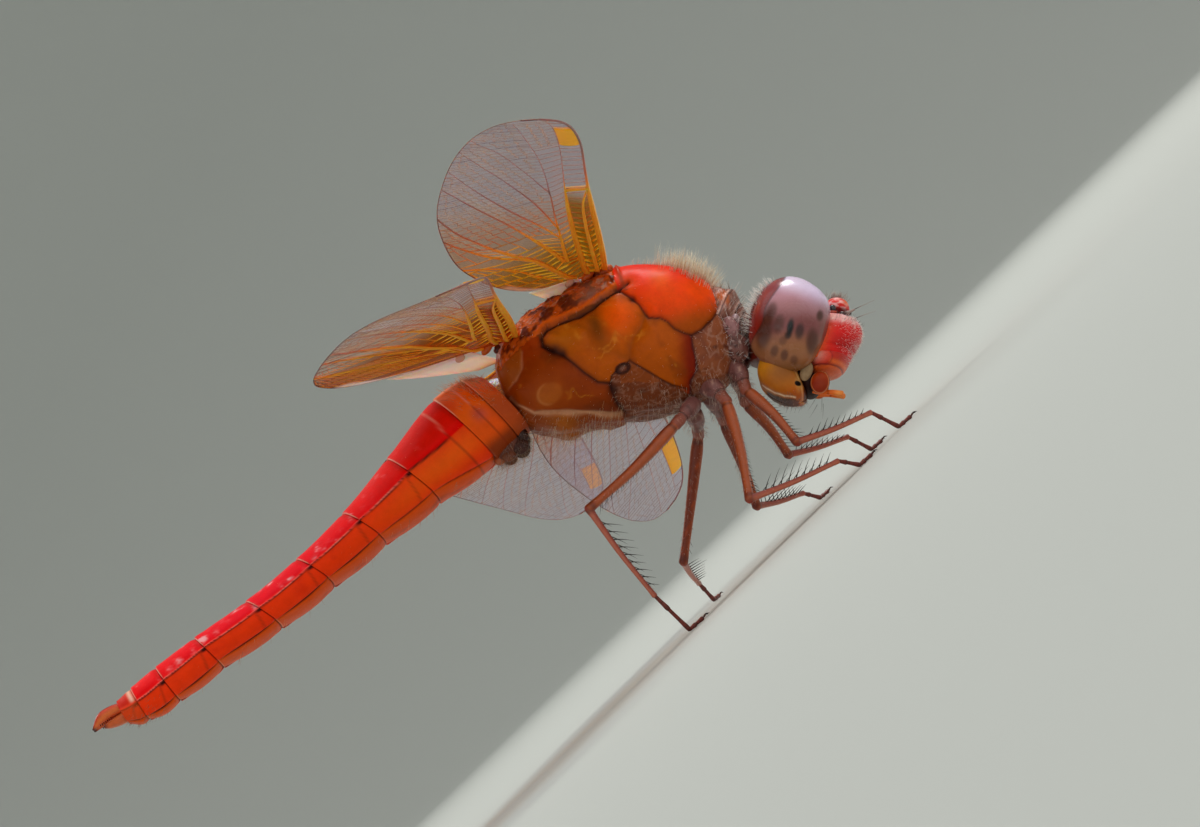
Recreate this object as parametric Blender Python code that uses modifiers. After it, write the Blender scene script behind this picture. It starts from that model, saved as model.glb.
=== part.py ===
"""A skimmer dragonfly at life size, standing on the floor on its six feet with its wings spread.

X runs from tail to head, Y to the insect's left, and Z up, with the floor at Z = 0. Lengths are written in
millimetres, and MM turns them to metres. The trunk, head, abdomen and wings are shaped in the insect's own
frame, which leans over its left legs; the legs are shaped in the standing frame, where their feet are level.
"""

import math

import bmesh
import bpy
from mathutils import Matrix, Vector

MM = 0.001
JOINT_GAP = 0.15  # clear space where two pieces of the body meet

# The stance: the trunk's frame sits this high and leans to the left, so that the right wings rise.
TRUNK_HEIGHT = 15.0
TRUNK_LEAN = math.radians(12.5)

# The thorax is a deep barrel that slopes down to the head.
THORAX_CENTRE = Vector((4.0, 0.0, 2.0))
THORAX_PITCH = math.radians(24.0)
THORAX_SIDES = 24
THORAX_RINGS = 13
# Along the thorax: low edge, high edge and half width.
THORAX_STATIONS = (
    (-8.3, -1.4, 2.5, 1.9),
    (-7.6, -2.9, 3.6, 2.8),
    (-6.0, -3.5, 4.35, 3.6),
    (-3.5, -4.2, 4.95, 4.0),
    (0.0, -4.8, 5.5, 4.2),
    (2.3, -5.1, 5.4, 4.1),
    (4.3, -5.0, 4.75, 3.8),
    (6.0, -4.6, 3.8, 3.2),
    (7.2, -3.5, 2.6, 2.3),
)
THORAX_ROUNDNESS = 2.3

PROTHORAX = ((10.1, 0.0, -1.0), (10.6, 0.0, -2.0), (11.05, 0.0, -2.75))
PROTHORAX_RADII = (2.5, 2.2, 1.4)
NECK = ((11.05, 0.0, -2.7), (11.75, 0.0, -3.75))
NECK_RADII = (1.0, 0.9)

# The head hangs from the neck with its face turned down and forward.
HEAD_CENTRE = Vector((13.2, 0.0, -5.2))
HEAD_PITCH = math.radians(47.0)
EYE_CENTRE = Vector((0.0, 2.05, 0.0))
EYE_RADII = Vector((2.62, 2.35, 3.35))
EYE_SEAM = 0.1  # half of the cleft between the two eyes
HEAD_SIDES = 20
# Down the head: rear edge, front edge and half width.
CAPSULE_STATIONS = (
    (1.45, 0.9, 3.6, 1.0),
    (1.3, -0.6, 4.15, 1.5),
    (0.7, -2.2, 4.7, 1.9),
    (0.0, -2.7, 4.9, 2.15),
    (-0.7, -2.8, 4.75, 2.4),
    (-1.4, -2.8, 4.4, 2.6),
    (-2.1, -2.75, 4.1, 2.6),
)
VERTEX_STATIONS = (
    (2.5, 2.7, 3.4, 0.5),
    (2.3, 2.4, 3.8, 0.85),
    (1.95, 2.3, 3.97, 1.0),
    (1.6, 2.3, 3.8, 1.05),
)
LABRUM_STATIONS = (
    (-2.25, 1.4, 4.0, 2.3),
    (-2.7, 1.4, 3.75, 2.1),
    (-3.2, 1.5, 3.0, 1.5),
)
LABIUM_STATIONS = (
    (-2.25, -2.6, 0.3, 2.6),
    (-3.2, -2.35, 0.75, 2.7),
    (-4.2, -1.85, 1.2, 2.4),
    (-4.9, -1.1, 1.3, 1.9),
    (-5.3, -0.3, 0.9, 1.1),
)
MANDIBLE_CENTRE = Vector((2.3, 1.75, -3.95))
MANDIBLE_RADII = (0.65, 0.5, 0.8)
PALP = ((2.0, 1.1, -4.45), (3.0, 1.15, -4.5), (3.8, 1.1, -4.6))
PALP_RADII = (0.28, 0.26, 0.25)
ANTENNA = ((3.95, 1.0, 1.4), (4.7, 1.15, 1.65), (5.5, 1.3, 1.95))
ANTENNA_RADII = (0.28, 0.25, 0.25)

# Along the abdomen, where one segment ends and the next starts: height of the middle, height, width and
# how far the joint's top lies behind its foot.
ABDOMEN_STATIONS = (
    (-4.0, 5.15, 5.0, 5.0, 0.0),
    (-5.2, 5.5, 5.9, 6.0, 0.1),
    (-7.4, 5.72, 6.2, 6.4, 0.3),
    (-12.3, 5.64, 4.8, 5.8, 0.75),
    (-17.0, 5.61, 3.6, 5.4, 0.95),
    (-21.5, 5.75, 3.15, 5.0, 0.85),
    (-26.0, 6.13, 3.05, 4.6, 0.75),
    (-30.5, 6.86, 2.9, 4.1, 0.15),
    (-34.0, 7.27, 2.9, 3.5, -0.3),
    (-36.3, 7.58, 2.55, 2.7, -0.5),
    (-37.6, 8.0, 1.7, 2.0, -0.4),
)
# The bump of the mating organs under the second segment.
HAMULES_CENTRE = Vector((-5.9, 0.0, 2.5))
HAMULES_RADII = (1.35, 0.95, 1.0)
ABDOMEN_SIDES = 20
RINGS_IN_SEGMENT = 4
ABDOMEN_ROOF = 1.75  # powers of the section: a low roof over a fuller belly, with a ridge between
ABDOMEN_BELLY = 2.3
SEGMENT_GAP = 0.15
CERCUS = ((-37.75, 0.45, 8.35), (-38.7, 0.62, 8.6), (-39.7, 0.5, 8.62))
CERCUS_RADII = (0.42, 0.4, 0.25)
EPIPROCT = ((-37.75, 0.0, 7.55), (-38.6, 0.0, 7.7), (-39.0, 0.0, 7.8))
EPIPROCT_RADII = (0.5, 0.4, 0.28)

# A wing runs out from its hinge along its span, and its chord runs back and up from the leading edge.
# Edges: out along the span, the leading and the trailing edge, in shares of the wing's length.
WING_THICKNESS = 0.5
WING_COLUMNS = 26
WING_ROWS = 5
FOREWING = {
    "hinge": Vector((7.1, 1.6, 6.65)),
    "length": 44.5,
    "edges": (
        (0.0, 0.0, -0.08),
        (0.03, 0.001, -0.125),
        (0.08, 0.003, -0.16),
        (0.15, 0.004, -0.188),
        (0.25, 0.004, -0.212),
        (0.4, 0.002, -0.222),
        (0.52, 0.0, -0.22),
        (0.65, -0.002, -0.206),
        (0.8, -0.006, -0.182),
        (0.9, -0.015, -0.157),
        (0.955, -0.027, -0.134),
        (0.985, -0.043, -0.112),
        (1.0, -0.068, -0.086),
    ),
}
HINDWING = {
    "hinge": Vector((-0.6, 1.6, 7.5)),
    "length": 43.0,
    "edges": (
        (0.0, 0.0, -0.08),
        (0.015, 0.001, -0.18),
        (0.05, 0.003, -0.265),
        (0.12, 0.005, -0.308),
        (0.2, 0.005, -0.312),
        (0.32, 0.002, -0.29),
        (0.48, 0.0, -0.255),
        (0.65, -0.004, -0.22),
        (0.8, -0.011, -0.185),
        (0.9, -0.021, -0.159),
        (0.955, -0.034, -0.137),
        (0.985, -0.051, -0.116),
        (1.0, -0.074, -0.092),
    ),
}
# How each wing is held, in degrees: back from square, down at the hinge, further down toward the tip,
# the chord's rise at the hinge, and its further rise toward the tip.
WINGS = {
    "forewing_right": (FOREWING, {"sweep": 0.0, "droop": 2.0, "bend": 8.0, "pitch": 26.0, "twist": 15.0}),
    "forewing_left": (FOREWING, {"sweep": 0.0, "droop": -2.0, "bend": 14.0, "pitch": 5.0, "twist": -14.0}),
    "hindwing_right": (HINDWING, {"sweep": 3.0, "droop": 3.5, "bend": 14.5, "pitch": 27.0, "twist": -5.0}),
    "hindwing_left": (HINDWING, {"sweep": -3.5, "droop": -4.0, "bend": 13.0, "pitch": 16.0, "twist": -1.0}),
}

# Each leg: the coxa leaves the trunk (in the trunk's frame), and the other joints are in the standing frame.
# The tarsus comes down to its heel and lies level from there to the toe, flat on the floor.
LEGS = {
    "front_right": {
        "coxa": (8.6, -0.9, -4.6),
        "hip": (8.03, -2.6, 9.19),
        "knee": (7.82, -4.5, 4.24),
        "ankle": (12.78, -5.0, 2.2),
        "heel": (13.5, -4.8, 0.0),
        "toe": (14.6, -4.6, 0.0),
    },
    "front_left": {
        "coxa": (8.6, 0.9, -4.6),
        "hip": (8.1, 2.6, 8.7),
        "knee": (8.0, 4.9, 4.0),
        "ankle": (12.2, 7.3, 2.0),
        "heel": (12.9, 8.0, 0.0),
        "toe": (13.9, 8.5, 0.0),
    },
    "middle_right": {
        "coxa": (6.4, -1.3, -4.3),
        "hip": (6.42, -3.4, 9.58),
        "knee": (2.62, -6.0, 3.7),
        "ankle": (8.66, -6.5, 1.41),
        "heel": (9.6, -6.0, 0.0),
        "toe": (10.7, -5.6, 0.0),
    },
    "middle_left": {
        "coxa": (6.4, 1.3, -4.3),
        "hip": (6.2, 3.3, 8.8),
        "knee": (4.05, 6.2, 2.94),
        "ankle": (7.6, 10.9, 1.3),
        "heel": (8.4, 11.9, 0.0),
        "toe": (9.2, 12.6, 0.0),
    },
    "hind_right": {
        "coxa": (4.6, -1.3, -4.4),
        "hip": (2.87, -3.4, 10.81),
        "knee": (-5.64, -6.0, 10.7),
        "ankle": (-6.55, -6.5, 3.47),
        "heel": (-6.4, -6.0, 0.0),
        "toe": (-5.2, -5.8, 0.0),
    },
    "hind_left": {
        "coxa": (4.6, 1.3, -4.4),
        "hip": (4.27, 3.6, 9.3),
        "knee": (-2.34, 6.5, 3.7),
        "ankle": (-1.9, 13.9, 1.8),
        "heel": (-1.8, 15.4, 0.0),
        "toe": (-1.2, 16.6, 0.0),
    },
}
LEG_SIDES = 8
COXA_RADII = (0.85, 0.55)
FEMUR_RADII = (0.5, 0.46, 0.33)
TIBIA_RADII = (0.3, 0.27, 0.25)
TARSUS_RADIUS = 0.26
CLAW_SPREAD = 1.8  # the foot's width over its thickness, out to the claws' tips

COLOURS = {
    "red_cuticle": ((0.72, 0.07, 0.015), 0.4),
    "orange_cuticle": ((0.75, 0.2, 0.02), 0.45),
    "amber_cuticle": ((0.5, 0.17, 0.03), 0.5),
    "eye": ((0.32, 0.24, 0.22), 0.2),
    "dark_cuticle": ((0.05, 0.02, 0.012), 0.35),
    "wing": ((0.75, 0.45, 0.2), 0.3),
}


def clear_scene():
    for obj in list(bpy.data.objects):
        bpy.data.objects.remove(obj)


def new_collection(name):
    collection = bpy.data.collections.new(name)
    bpy.context.scene.collection.children.link(collection)
    return collection


def material(name):
    """The named cuticle as a Principled material, made once."""
    if name in bpy.data.materials:
        return bpy.data.materials[name]
    colour, roughness = COLOURS[name]
    made = bpy.data.materials.new(name)
    made.use_nodes = True
    shader = made.node_tree.nodes["Principled BSDF"]
    shader.inputs["Base Color"].default_value = (*colour, 1.0)
    shader.inputs["Roughness"].default_value = roughness
    shader.inputs["Metallic"].default_value = 0.0
    return made


def new_empty(name, location, rotation, parent=None):
    empty = bpy.data.objects.new(name, None)
    empty.empty_display_size = 2 * MM
    empty.location = Vector(location) * MM
    empty.rotation_euler = rotation
    empty.parent = parent
    parts.objects.link(empty)
    return empty


def new_piece(name, bm, finish, parent):
    """Writes a mesh shaped in millimetres as an object of the dragonfly, under its frame."""
    bmesh.ops.recalc_face_normals(bm, faces=bm.faces[:])
    bm.transform(Matrix.Scale(MM, 4))
    mesh = bpy.data.meshes.new(name)
    bm.to_mesh(mesh)
    bm.free()
    mesh.shade_smooth()
    mesh.set_sharp_from_angle(angle=math.radians(40))
    mesh.materials.append(material(finish))
    piece = bpy.data.objects.new(name, mesh)
    piece.parent = parent
    parts.objects.link(piece)
    return piece


def signed_power(value, power):
    return math.copysign(abs(value) ** power, value)


def smooth_row(table, at):
    """The table's row at a place between its own, on a smooth curve through them; the first column is the place."""
    rows = sorted(table)
    last = len(rows) - 1
    index = next((i for i in range(last) if at <= rows[i + 1][0]), last - 1)
    before, start, end, after = (rows[min(max(index + step, 0), last)] for step in (-1, 0, 1, 2))
    length = end[0] - start[0]
    share = (at - start[0]) / length
    found = []
    for column in range(1, len(start)):
        slope_in = length * (end[column] - before[column]) / (end[0] - before[0])
        slope_out = length * (after[column] - start[column]) / (after[0] - start[0])
        change = end[column] - start[column]
        found.append(
            start[column]
            + share * slope_in
            + share**2 * (3 * change - 2 * slope_in - slope_out)
            + share**3 * (slope_in + slope_out - 2 * change)
        )
    return found


def spread(first, last, count):
    """Evenly spaced places from first to last, both included."""
    return [first + (last - first) * step / (count - 1) for step in range(count)]


def rounded_ring(low, high, half_width, sides, roof, belly):
    """A closed outline of (width, height) pairs: a superellipse whose upper and lower halves have their own powers."""
    middle = (low + high) / 2
    reach = (high - low) / 2
    outline = []
    for step in range(sides):
        turn = 2 * math.pi * step / sides
        power = 2 / (roof if math.cos(turn) > 0 else belly)
        across = half_width * signed_power(math.sin(turn), power)
        outline.append((across, middle + reach * signed_power(math.cos(turn), power)))
    return outline


def loft(sections):
    """Bridges closed sections of equally many points one to the next, and caps both ends."""
    bm = bmesh.new()
    rings = []
    for points in sections:
        circle = bmesh.ops.create_circle(bm, segments=len(points), radius=1.0)["verts"]
        for vertex, point in zip(circle, points):
            vertex.co = point
        rings.append({edge for vertex in circle for edge in vertex.link_edges})
    for before, after in zip(rings, rings[1:]):
        bmesh.ops.bridge_loops(bm, edges=list(before | after))
    for ring in (rings[0], rings[-1]):
        bmesh.ops.contextual_create(bm, geom=list(ring))
    return bm


def tube(points, radii, widening=None, sides=LEG_SIDES):
    """A tapered tube through the points, with a flat side below; widening stretches a ring sideways."""
    points = [Vector(point) for point in points]
    widening = widening or [1.0] * len(points)
    sections = []
    for index, (centre, radius, wide) in enumerate(zip(points, radii, widening)):
        ahead = points[min(index + 1, len(points) - 1)] - centre
        behind = centre - points[max(index - 1, 0)]
        along = (ahead.normalized() + behind.normalized()).normalized()
        aside = along.cross(Vector((0, 0, 1)))
        aside = aside.normalized() if aside.length > 0.05 else Vector((0, 1, 0))
        above = aside.cross(along)
        sections.append(
            [
                centre
                + aside * (radius * wide * math.sin(2 * math.pi * (step + 0.5) / sides))
                + above * (radius * math.cos(2 * math.pi * (step + 0.5) / sides))
                for step in range(sides)
            ]
        )
    return loft(sections)


def keep_clear(piece, neighbour, gap=JOINT_GAP):
    """Cuts the neighbour's shape, swollen by the gap, out of a piece that meets it."""
    swollen = bmesh.new()
    swollen.from_mesh(neighbour.data)
    swollen.normal_update()
    offsets = [vertex.normal * (gap * MM * vertex.calc_shell_factor()) for vertex in swollen.verts]
    for vertex, offset in zip(swollen.verts, offsets):
        vertex.co += offset
    mesh = bpy.data.meshes.new(f"{piece.name}_{neighbour.name}_cut")
    swollen.to_mesh(mesh)
    swollen.free()
    cutter = bpy.data.objects.new(mesh.name, mesh)
    cutter.parent = neighbour.parent
    cutter.hide_render = True
    cutter.display_type = "WIRE"
    cutters.objects.link(cutter)
    difference = piece.modifiers.new(f"clear_of_{neighbour.name}", "BOOLEAN")
    difference.operation = "DIFFERENCE"
    difference.object = cutter


def make_thorax():
    sections = []
    for along in spread(THORAX_STATIONS[0][0], THORAX_STATIONS[-1][0], THORAX_RINGS):
        low, high, half_width = smooth_row(THORAX_STATIONS, along)
        outline = rounded_ring(low, high, half_width, THORAX_SIDES, THORAX_ROUNDNESS, THORAX_ROUNDNESS)
        sections.append([Vector((along, across, height)) for across, height in outline])
    return new_piece("thorax", loft(sections), "orange_cuticle", thorax_frame)


def make_neck(thorax):
    prothorax = new_piece("prothorax", tube(PROTHORAX, PROTHORAX_RADII, sides=14), "amber_cuticle", trunk)
    keep_clear(prothorax, thorax)
    neck = new_piece("neck", tube(NECK, NECK_RADII, sides=12), "amber_cuticle", trunk)
    keep_clear(neck, prothorax)
    return prothorax, neck


def head_stack(stations, rings):
    """A piece of the head lofted down its own frame, from stations of rear edge, front edge and half width."""
    sections = []
    for height in spread(stations[0][0], stations[-1][0], rings):
        rear, front, half_width = smooth_row(stations, height)
        outline = rounded_ring(rear, front, half_width, HEAD_SIDES, 2.2, 2.6)
        sections.append([Vector((along, across, height)) for across, along in outline])
    return loft(sections)


def lump(centre, radii):
    """An ellipsoid of a few dozen faces."""
    bm = bmesh.new()
    bmesh.ops.create_uvsphere(bm, u_segments=14, v_segments=8, radius=1.0)
    bm.transform(Matrix.Translation(centre) @ Matrix.Diagonal((*radii, 1.0)))
    return bm


def make_eye(side):
    """A compound eye: an ellipsoid parted from its twin by the seam on the head's middle plane."""
    bm = bmesh.new()
    bmesh.ops.create_uvsphere(bm, u_segments=22, v_segments=14, radius=1.0)
    bm.transform(Matrix.Diagonal((*EYE_RADII, 1.0)))
    bmesh.ops.translate(bm, verts=bm.verts[:], vec=EYE_CENTRE)
    cut = bmesh.ops.bisect_plane(
        bm,
        geom=bm.verts[:] + bm.edges[:] + bm.faces[:],
        plane_co=(0, EYE_SEAM, 0),
        plane_no=(0, 1, 0),
        clear_inner=True,
    )["geom_cut"]
    bmesh.ops.contextual_create(bm, geom=[item for item in cut if isinstance(item, bmesh.types.BMEdge)])
    bm.transform(Matrix.Diagonal((1.0, side, 1.0, 1.0)))
    return bm


def make_head(neck):
    head = new_piece("head", head_stack(CAPSULE_STATIONS, 9), "red_cuticle", head_frame)
    vertex = new_piece("vertex", head_stack(VERTEX_STATIONS, 4), "red_cuticle", head_frame)
    labrum = new_piece("labrum", head_stack(LABRUM_STATIONS, 4), "orange_cuticle", head_frame)
    labium = new_piece("labium", head_stack(LABIUM_STATIONS, 5), "amber_cuticle", head_frame)
    eyes = []
    for name, side in (("left", 1), ("right", -1)):
        eyes.append(new_piece(f"eye_{name}", make_eye(side), "eye", head_frame))
        points = [(along, side * across, height) for along, across, height in ANTENNA]
        antenna = new_piece(f"antenna_{name}", tube(points, ANTENNA_RADII), "dark_cuticle", head_frame)
        keep_clear(antenna, head)
        keep_clear(antenna, vertex)
        mandible_centre = Vector((MANDIBLE_CENTRE.x, side * MANDIBLE_CENTRE.y, MANDIBLE_CENTRE.z))
        mandible = new_piece(f"mandible_{name}", lump(mandible_centre, MANDIBLE_RADII), "orange_cuticle", head_frame)
        for neighbour in (labrum, labium, head):
            keep_clear(mandible, neighbour)
        points = [(along, side * across, height) for along, across, height in PALP]
        palp = new_piece(f"palp_{name}", tube(points, PALP_RADII), "amber_cuticle", head_frame)
        keep_clear(palp, mandible)
        keep_clear(palp, labium)
    for piece in (head, vertex, labrum, labium):
        for eye in eyes:
            keep_clear(piece, eye)
    keep_clear(neck, head)
    for eye in eyes:
        keep_clear(neck, eye)


def make_abdomen(thorax):
    """Ten segments, parted by thin cuts at the stations, and the claspers at the end."""
    stations = [
        (along, middle, height / 2, width / 2, set_back) for along, middle, height, width, set_back in ABDOMEN_STATIONS
    ]
    segments = []
    for number, (front, rear) in enumerate(zip(stations, stations[1:]), start=1):
        sections = []
        for place in spread(front[0] - SEGMENT_GAP / 2, rear[0] + SEGMENT_GAP / 2, RINGS_IN_SEGMENT):
            middle, reach, half_width, set_back = smooth_row(stations, place)
            outline = rounded_ring(
                middle - reach, middle + reach, half_width, ABDOMEN_SIDES, ABDOMEN_ROOF, ABDOMEN_BELLY
            )
            sections.append(
                [
                    Vector((place - set_back * (height - middle) / (2 * reach), across, height))
                    for across, height in outline
                ]
            )
        segment = new_piece(f"abdomen_{number:02d}", loft(sections), "red_cuticle", trunk)
        if number == 1:
            keep_clear(segment, thorax)
        segments.append(segment)
    hamules = new_piece("hamules", lump(HAMULES_CENTRE, HAMULES_RADII), "dark_cuticle", trunk)
    for neighbour in (*segments[:3], thorax):
        keep_clear(hamules, neighbour)
    for name, side in (("left", 1), ("right", -1)):
        points = [(along, side * across, height) for along, across, height in CERCUS]
        new_piece(f"cercus_{name}", tube(points, CERCUS_RADII), "dark_cuticle", trunk)
    new_piece("epiproct", tube(EPIPROCT, EPIPROCT_RADII), "dark_cuticle", trunk)


def span_direction(sweep, droop, side):
    """The unit vector out along a wing that is swept back and drooped by these degrees."""
    back, down = math.radians(sweep), math.radians(droop)
    return Vector((-math.sin(back), side * math.cos(back) * math.cos(down), -math.sin(down))).normalized()


def make_wing(name, wing, pose, thorax):
    side = 1 if name.endswith("left") else -1
    hinge = Vector((wing["hinge"].x, side * wing["hinge"].y, wing["hinge"].z))
    root = span_direction(pose["sweep"], pose["droop"], side)
    bend = span_direction(pose["sweep"], pose["droop"] + pose["bend"], side) - root
    bm = bmesh.new()
    bmesh.ops.create_grid(bm, x_segments=WING_COLUMNS, y_segments=WING_ROWS, size=1.0)
    for vertex in bm.verts:
        outward = min(math.sin(math.pi / 4 * (vertex.co.x + 1)) ** 1.2, 1.0)
        leading, trailing = smooth_row(wing["edges"], outward)
        chord = leading + (trailing - leading) * (vertex.co.y + 1) / 2
        rise = math.radians(pose["pitch"] + pose["twist"] * outward)
        along = (root + bend * outward).normalized()
        forward = Vector((math.cos(rise), 0.0, -math.sin(rise)))
        forward = (forward - forward.project(along)).normalized()
        spine = root * outward + bend * outward**2 / 2
        vertex.co = hinge + wing["length"] * (spine + forward * chord)
    piece = new_piece(name, bm, "wing", trunk)
    thickness = piece.modifiers.new("thickness", "SOLIDIFY")
    thickness.thickness = WING_THICKNESS * MM
    thickness.offset = 0.0
    keep_clear(piece, thorax)
    return piece


def shortened(points, start, end):
    """The points of a leg's length, with both its ends drawn in from the joints."""
    points = [Vector(point) for point in points]
    first = (points[1] - points[0]).normalized()
    last = (points[-2] - points[-1]).normalized()
    return [points[0] + first * start, *points[1:-1], points[-1] + last * end]


def make_leg(name, leg, thorax):
    coxa_root = lean @ Vector(leg["coxa"])
    hip, knee, ankle = (Vector(leg[joint]) for joint in ("hip", "knee", "ankle"))
    raise_foot = Vector((0, 0, TARSUS_RADIUS * math.cos(math.pi / LEG_SIDES)))
    heel, toe = (Vector(leg[joint]) + raise_foot for joint in ("heel", "toe"))
    ball = heel.lerp(toe, 0.2)
    thigh = hip.lerp(knee, 0.35)
    coxa = new_piece(f"coxa_{name}", tube((coxa_root, hip), COXA_RADII), "amber_cuticle", stance)
    femur = new_piece(f"femur_{name}", tube((hip, thigh, knee), FEMUR_RADII), "red_cuticle", stance)
    shin = shortened((knee, knee.lerp(ankle, 0.5), ankle), 0.0, JOINT_GAP)
    tibia = new_piece(f"tibia_{name}", tube(shin, TIBIA_RADII), "dark_cuticle", stance)
    foot = tube((ankle, heel, ball, toe), [TARSUS_RADIUS] * 4, widening=(1.0, 1.0, 1.2, CLAW_SPREAD))
    tarsus = new_piece(f"tarsus_{name}", foot, "dark_cuticle", stance)
    keep_clear(coxa, thorax)
    keep_clear(femur, coxa)
    keep_clear(femur, thorax)
    keep_clear(tibia, femur)
    keep_clear(tarsus, tibia)


def centre_on_floor():
    """Moves the stance so that the origin lies on the floor under the middle of the whole insect."""
    bpy.context.view_layer.update()
    graph = bpy.context.evaluated_depsgraph_get()
    corners = []
    for obj in parts.objects:
        if obj.type == "MESH":
            evaluated = obj.evaluated_get(graph)
            corners += [evaluated.matrix_world @ vertex.co for vertex in evaluated.data.vertices]
    middle = [(min(c[axis] for c in corners) + max(c[axis] for c in corners)) / 2 for axis in (0, 1)]
    stance.location = (-middle[0], -middle[1], -min(c.z for c in corners))


clear_scene()
parts = new_collection("dragonfly")
cutters = new_collection("cutters")
cutters.hide_render = True
stance = new_empty("stance", (0, 0, 0), (0, 0, 0))
trunk = new_empty("trunk_frame", (0, 0, TRUNK_HEIGHT), (-TRUNK_LEAN, 0, 0), stance)
thorax_frame = new_empty("thorax_frame", THORAX_CENTRE, (0, THORAX_PITCH, 0), trunk)
head_frame = new_empty("head_frame", HEAD_CENTRE, (0, HEAD_PITCH, 0), trunk)
lean = Matrix.Translation((0, 0, TRUNK_HEIGHT)) @ Matrix.Rotation(-TRUNK_LEAN, 4, "X")

thorax_piece = make_thorax()
prothorax_piece, neck_piece = make_neck(thorax_piece)
make_head(neck_piece)
make_abdomen(thorax_piece)
for wing_name, (wing_plan, wing_pose) in WINGS.items():
    make_wing(wing_name, wing_plan, wing_pose, thorax_piece)
for leg_name, leg_plan in LEGS.items():
    make_leg(leg_name, leg_plan, thorax_piece)
centre_on_floor()
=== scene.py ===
import math

import bmesh
import bpy
import numpy as np
from mathutils import Matrix, Vector


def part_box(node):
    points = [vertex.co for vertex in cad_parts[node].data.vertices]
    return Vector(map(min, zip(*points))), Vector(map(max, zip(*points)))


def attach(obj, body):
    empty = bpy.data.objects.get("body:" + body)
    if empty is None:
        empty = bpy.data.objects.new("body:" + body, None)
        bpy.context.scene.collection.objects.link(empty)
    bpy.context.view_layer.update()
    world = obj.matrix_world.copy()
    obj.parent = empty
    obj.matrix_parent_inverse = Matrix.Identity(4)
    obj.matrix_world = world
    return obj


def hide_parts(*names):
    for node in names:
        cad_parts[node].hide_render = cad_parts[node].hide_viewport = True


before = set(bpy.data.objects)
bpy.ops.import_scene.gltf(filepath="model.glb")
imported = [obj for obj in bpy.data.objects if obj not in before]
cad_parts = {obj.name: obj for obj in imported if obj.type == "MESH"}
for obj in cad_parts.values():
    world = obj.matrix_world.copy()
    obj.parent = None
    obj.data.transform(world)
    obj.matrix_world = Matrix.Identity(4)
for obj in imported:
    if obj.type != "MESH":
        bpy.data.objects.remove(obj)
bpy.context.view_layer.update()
print("frame loaded")

mm = 0.001  # lengths are in millimetres where a note doesn't say metres
fullTurn = 2 * math.pi
dice = np.random.default_rng(7)


def rgb(red, green, blue):  # a colour as it looks on a screen, 0 to 255, made linear
    shares = (red / 255, green / 255, blue / 255)
    return tuple(c / 12.92 if c <= 0.04045 else ((c + 0.055) / 1.055) ** 2.4 for c in shares)


def opaque(tone):
    return (*rgb(*tone), 1.0)


def smoothTable(table, at):  # the columns of a table at places between its rows, on smooth curves
    rows = np.array(sorted(table), float)
    at = np.atleast_1d(np.asarray(at, float))
    index = np.clip(np.searchsorted(rows[:, 0], at, side="left") - 1, 0, len(rows) - 2)
    before, start, end, after = (rows[np.clip(index + step, 0, len(rows) - 1)] for step in (-1, 0, 1, 2))
    length = end[:, :1] - start[:, :1]
    share = (at[:, None] - start[:, :1]) / length
    slopeIn = length * (end[:, 1:] - before[:, 1:]) / (end[:, :1] - before[:, :1])
    slopeOut = length * (after[:, 1:] - start[:, 1:]) / (after[:, :1] - start[:, :1])
    change = end[:, 1:] - start[:, 1:]
    found = start[:, 1:] + share * slopeIn + share**2 * (3 * change - 2 * slopeIn - slopeOut)
    found += share**3 * (slopeIn + slopeOut - 2 * change)
    return found.T


def smoothPath(points, count):  # evenly numbered points on a smooth curve through a few
    points = np.array(points, float)
    keys = np.concatenate([[0.0], np.cumsum(np.linalg.norm(np.diff(points, axis=0), axis=1))])
    table = [(key, *point) for key, point in zip(keys / keys[-1], points)]
    return np.array(smoothTable(table, np.linspace(0, 1, count))).T


def power(value, exponent):
    return np.sign(value) * np.abs(value) ** exponent


def bell(distance, width):
    return np.exp(-((distance / width) ** 2))


def ramp(value, low, high):  # 0 below low, 1 above high, eased between
    share = np.clip((value - low) / (high - low), 0, 1)
    return share * share * (3 - 2 * share)


def unit(vectors):
    return vectors / np.maximum(np.linalg.norm(vectors, axis=-1, keepdims=True), 1e-12)


def endCaps(s, edge):  # how far a surface has left its nearer end, and how wide its rounded end is there
    cap = np.clip(np.minimum(s, 1 - s) / edge, 0, 1)
    return cap, np.sqrt(np.clip(1 - (1 - cap) ** 2, 0, 1))


def ringPoint(low, high, halfWidth, angle, roof, belly):  # a superellipse: across and up at an angle from the top
    share = 2 / np.where(np.cos(angle) > 0, roof, belly)
    up = (low + high) / 2 + (high - low) / 2 * power(np.cos(angle), share)
    return halfWidth * power(np.sin(angle), share), up


def gapToLine(x, y, line):  # how far each point lies from a bent line
    line = np.array(line, float)
    nearest = np.full(np.shape(x), 1e9)
    for (ax, ay), (bx, by) in zip(line, line[1:]):
        dx, dy = bx - ax, by - ay
        share = np.clip(((x - ax) * dx + (y - ay) * dy) / max(dx * dx + dy * dy, 1e-12), 0, 1)
        nearest = np.minimum(nearest, np.hypot(x - ax - share * dx, y - ay - share * dy))
    return nearest


def inside(x, y, outline):  # True for points within a closed outline
    found = np.zeros(np.shape(x), bool)
    for (ax, ay), (bx, by) in zip(outline, [*outline[1:], outline[0]]):
        crosses = (ay > y) != (by > y)
        found ^= crosses & (x < (bx - ax) * (y - ay) / np.where(by == ay, 1e-12, by - ay) + ax)
    return found


def ripple(points, size, seed=0, octaves=3):  # a soft random height over a surface, from -1 to 1
    draws = np.random.default_rng(seed)
    total = np.zeros(len(points))
    for octave in range(octaves):
        for _ in range(7):
            wave = draws.normal(size=3) * fullTurn / size * 2**octave * 0.6
            total += np.sin(points @ wave + draws.uniform(0, fullTurn)) / 2**octave
    return total / 6


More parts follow.
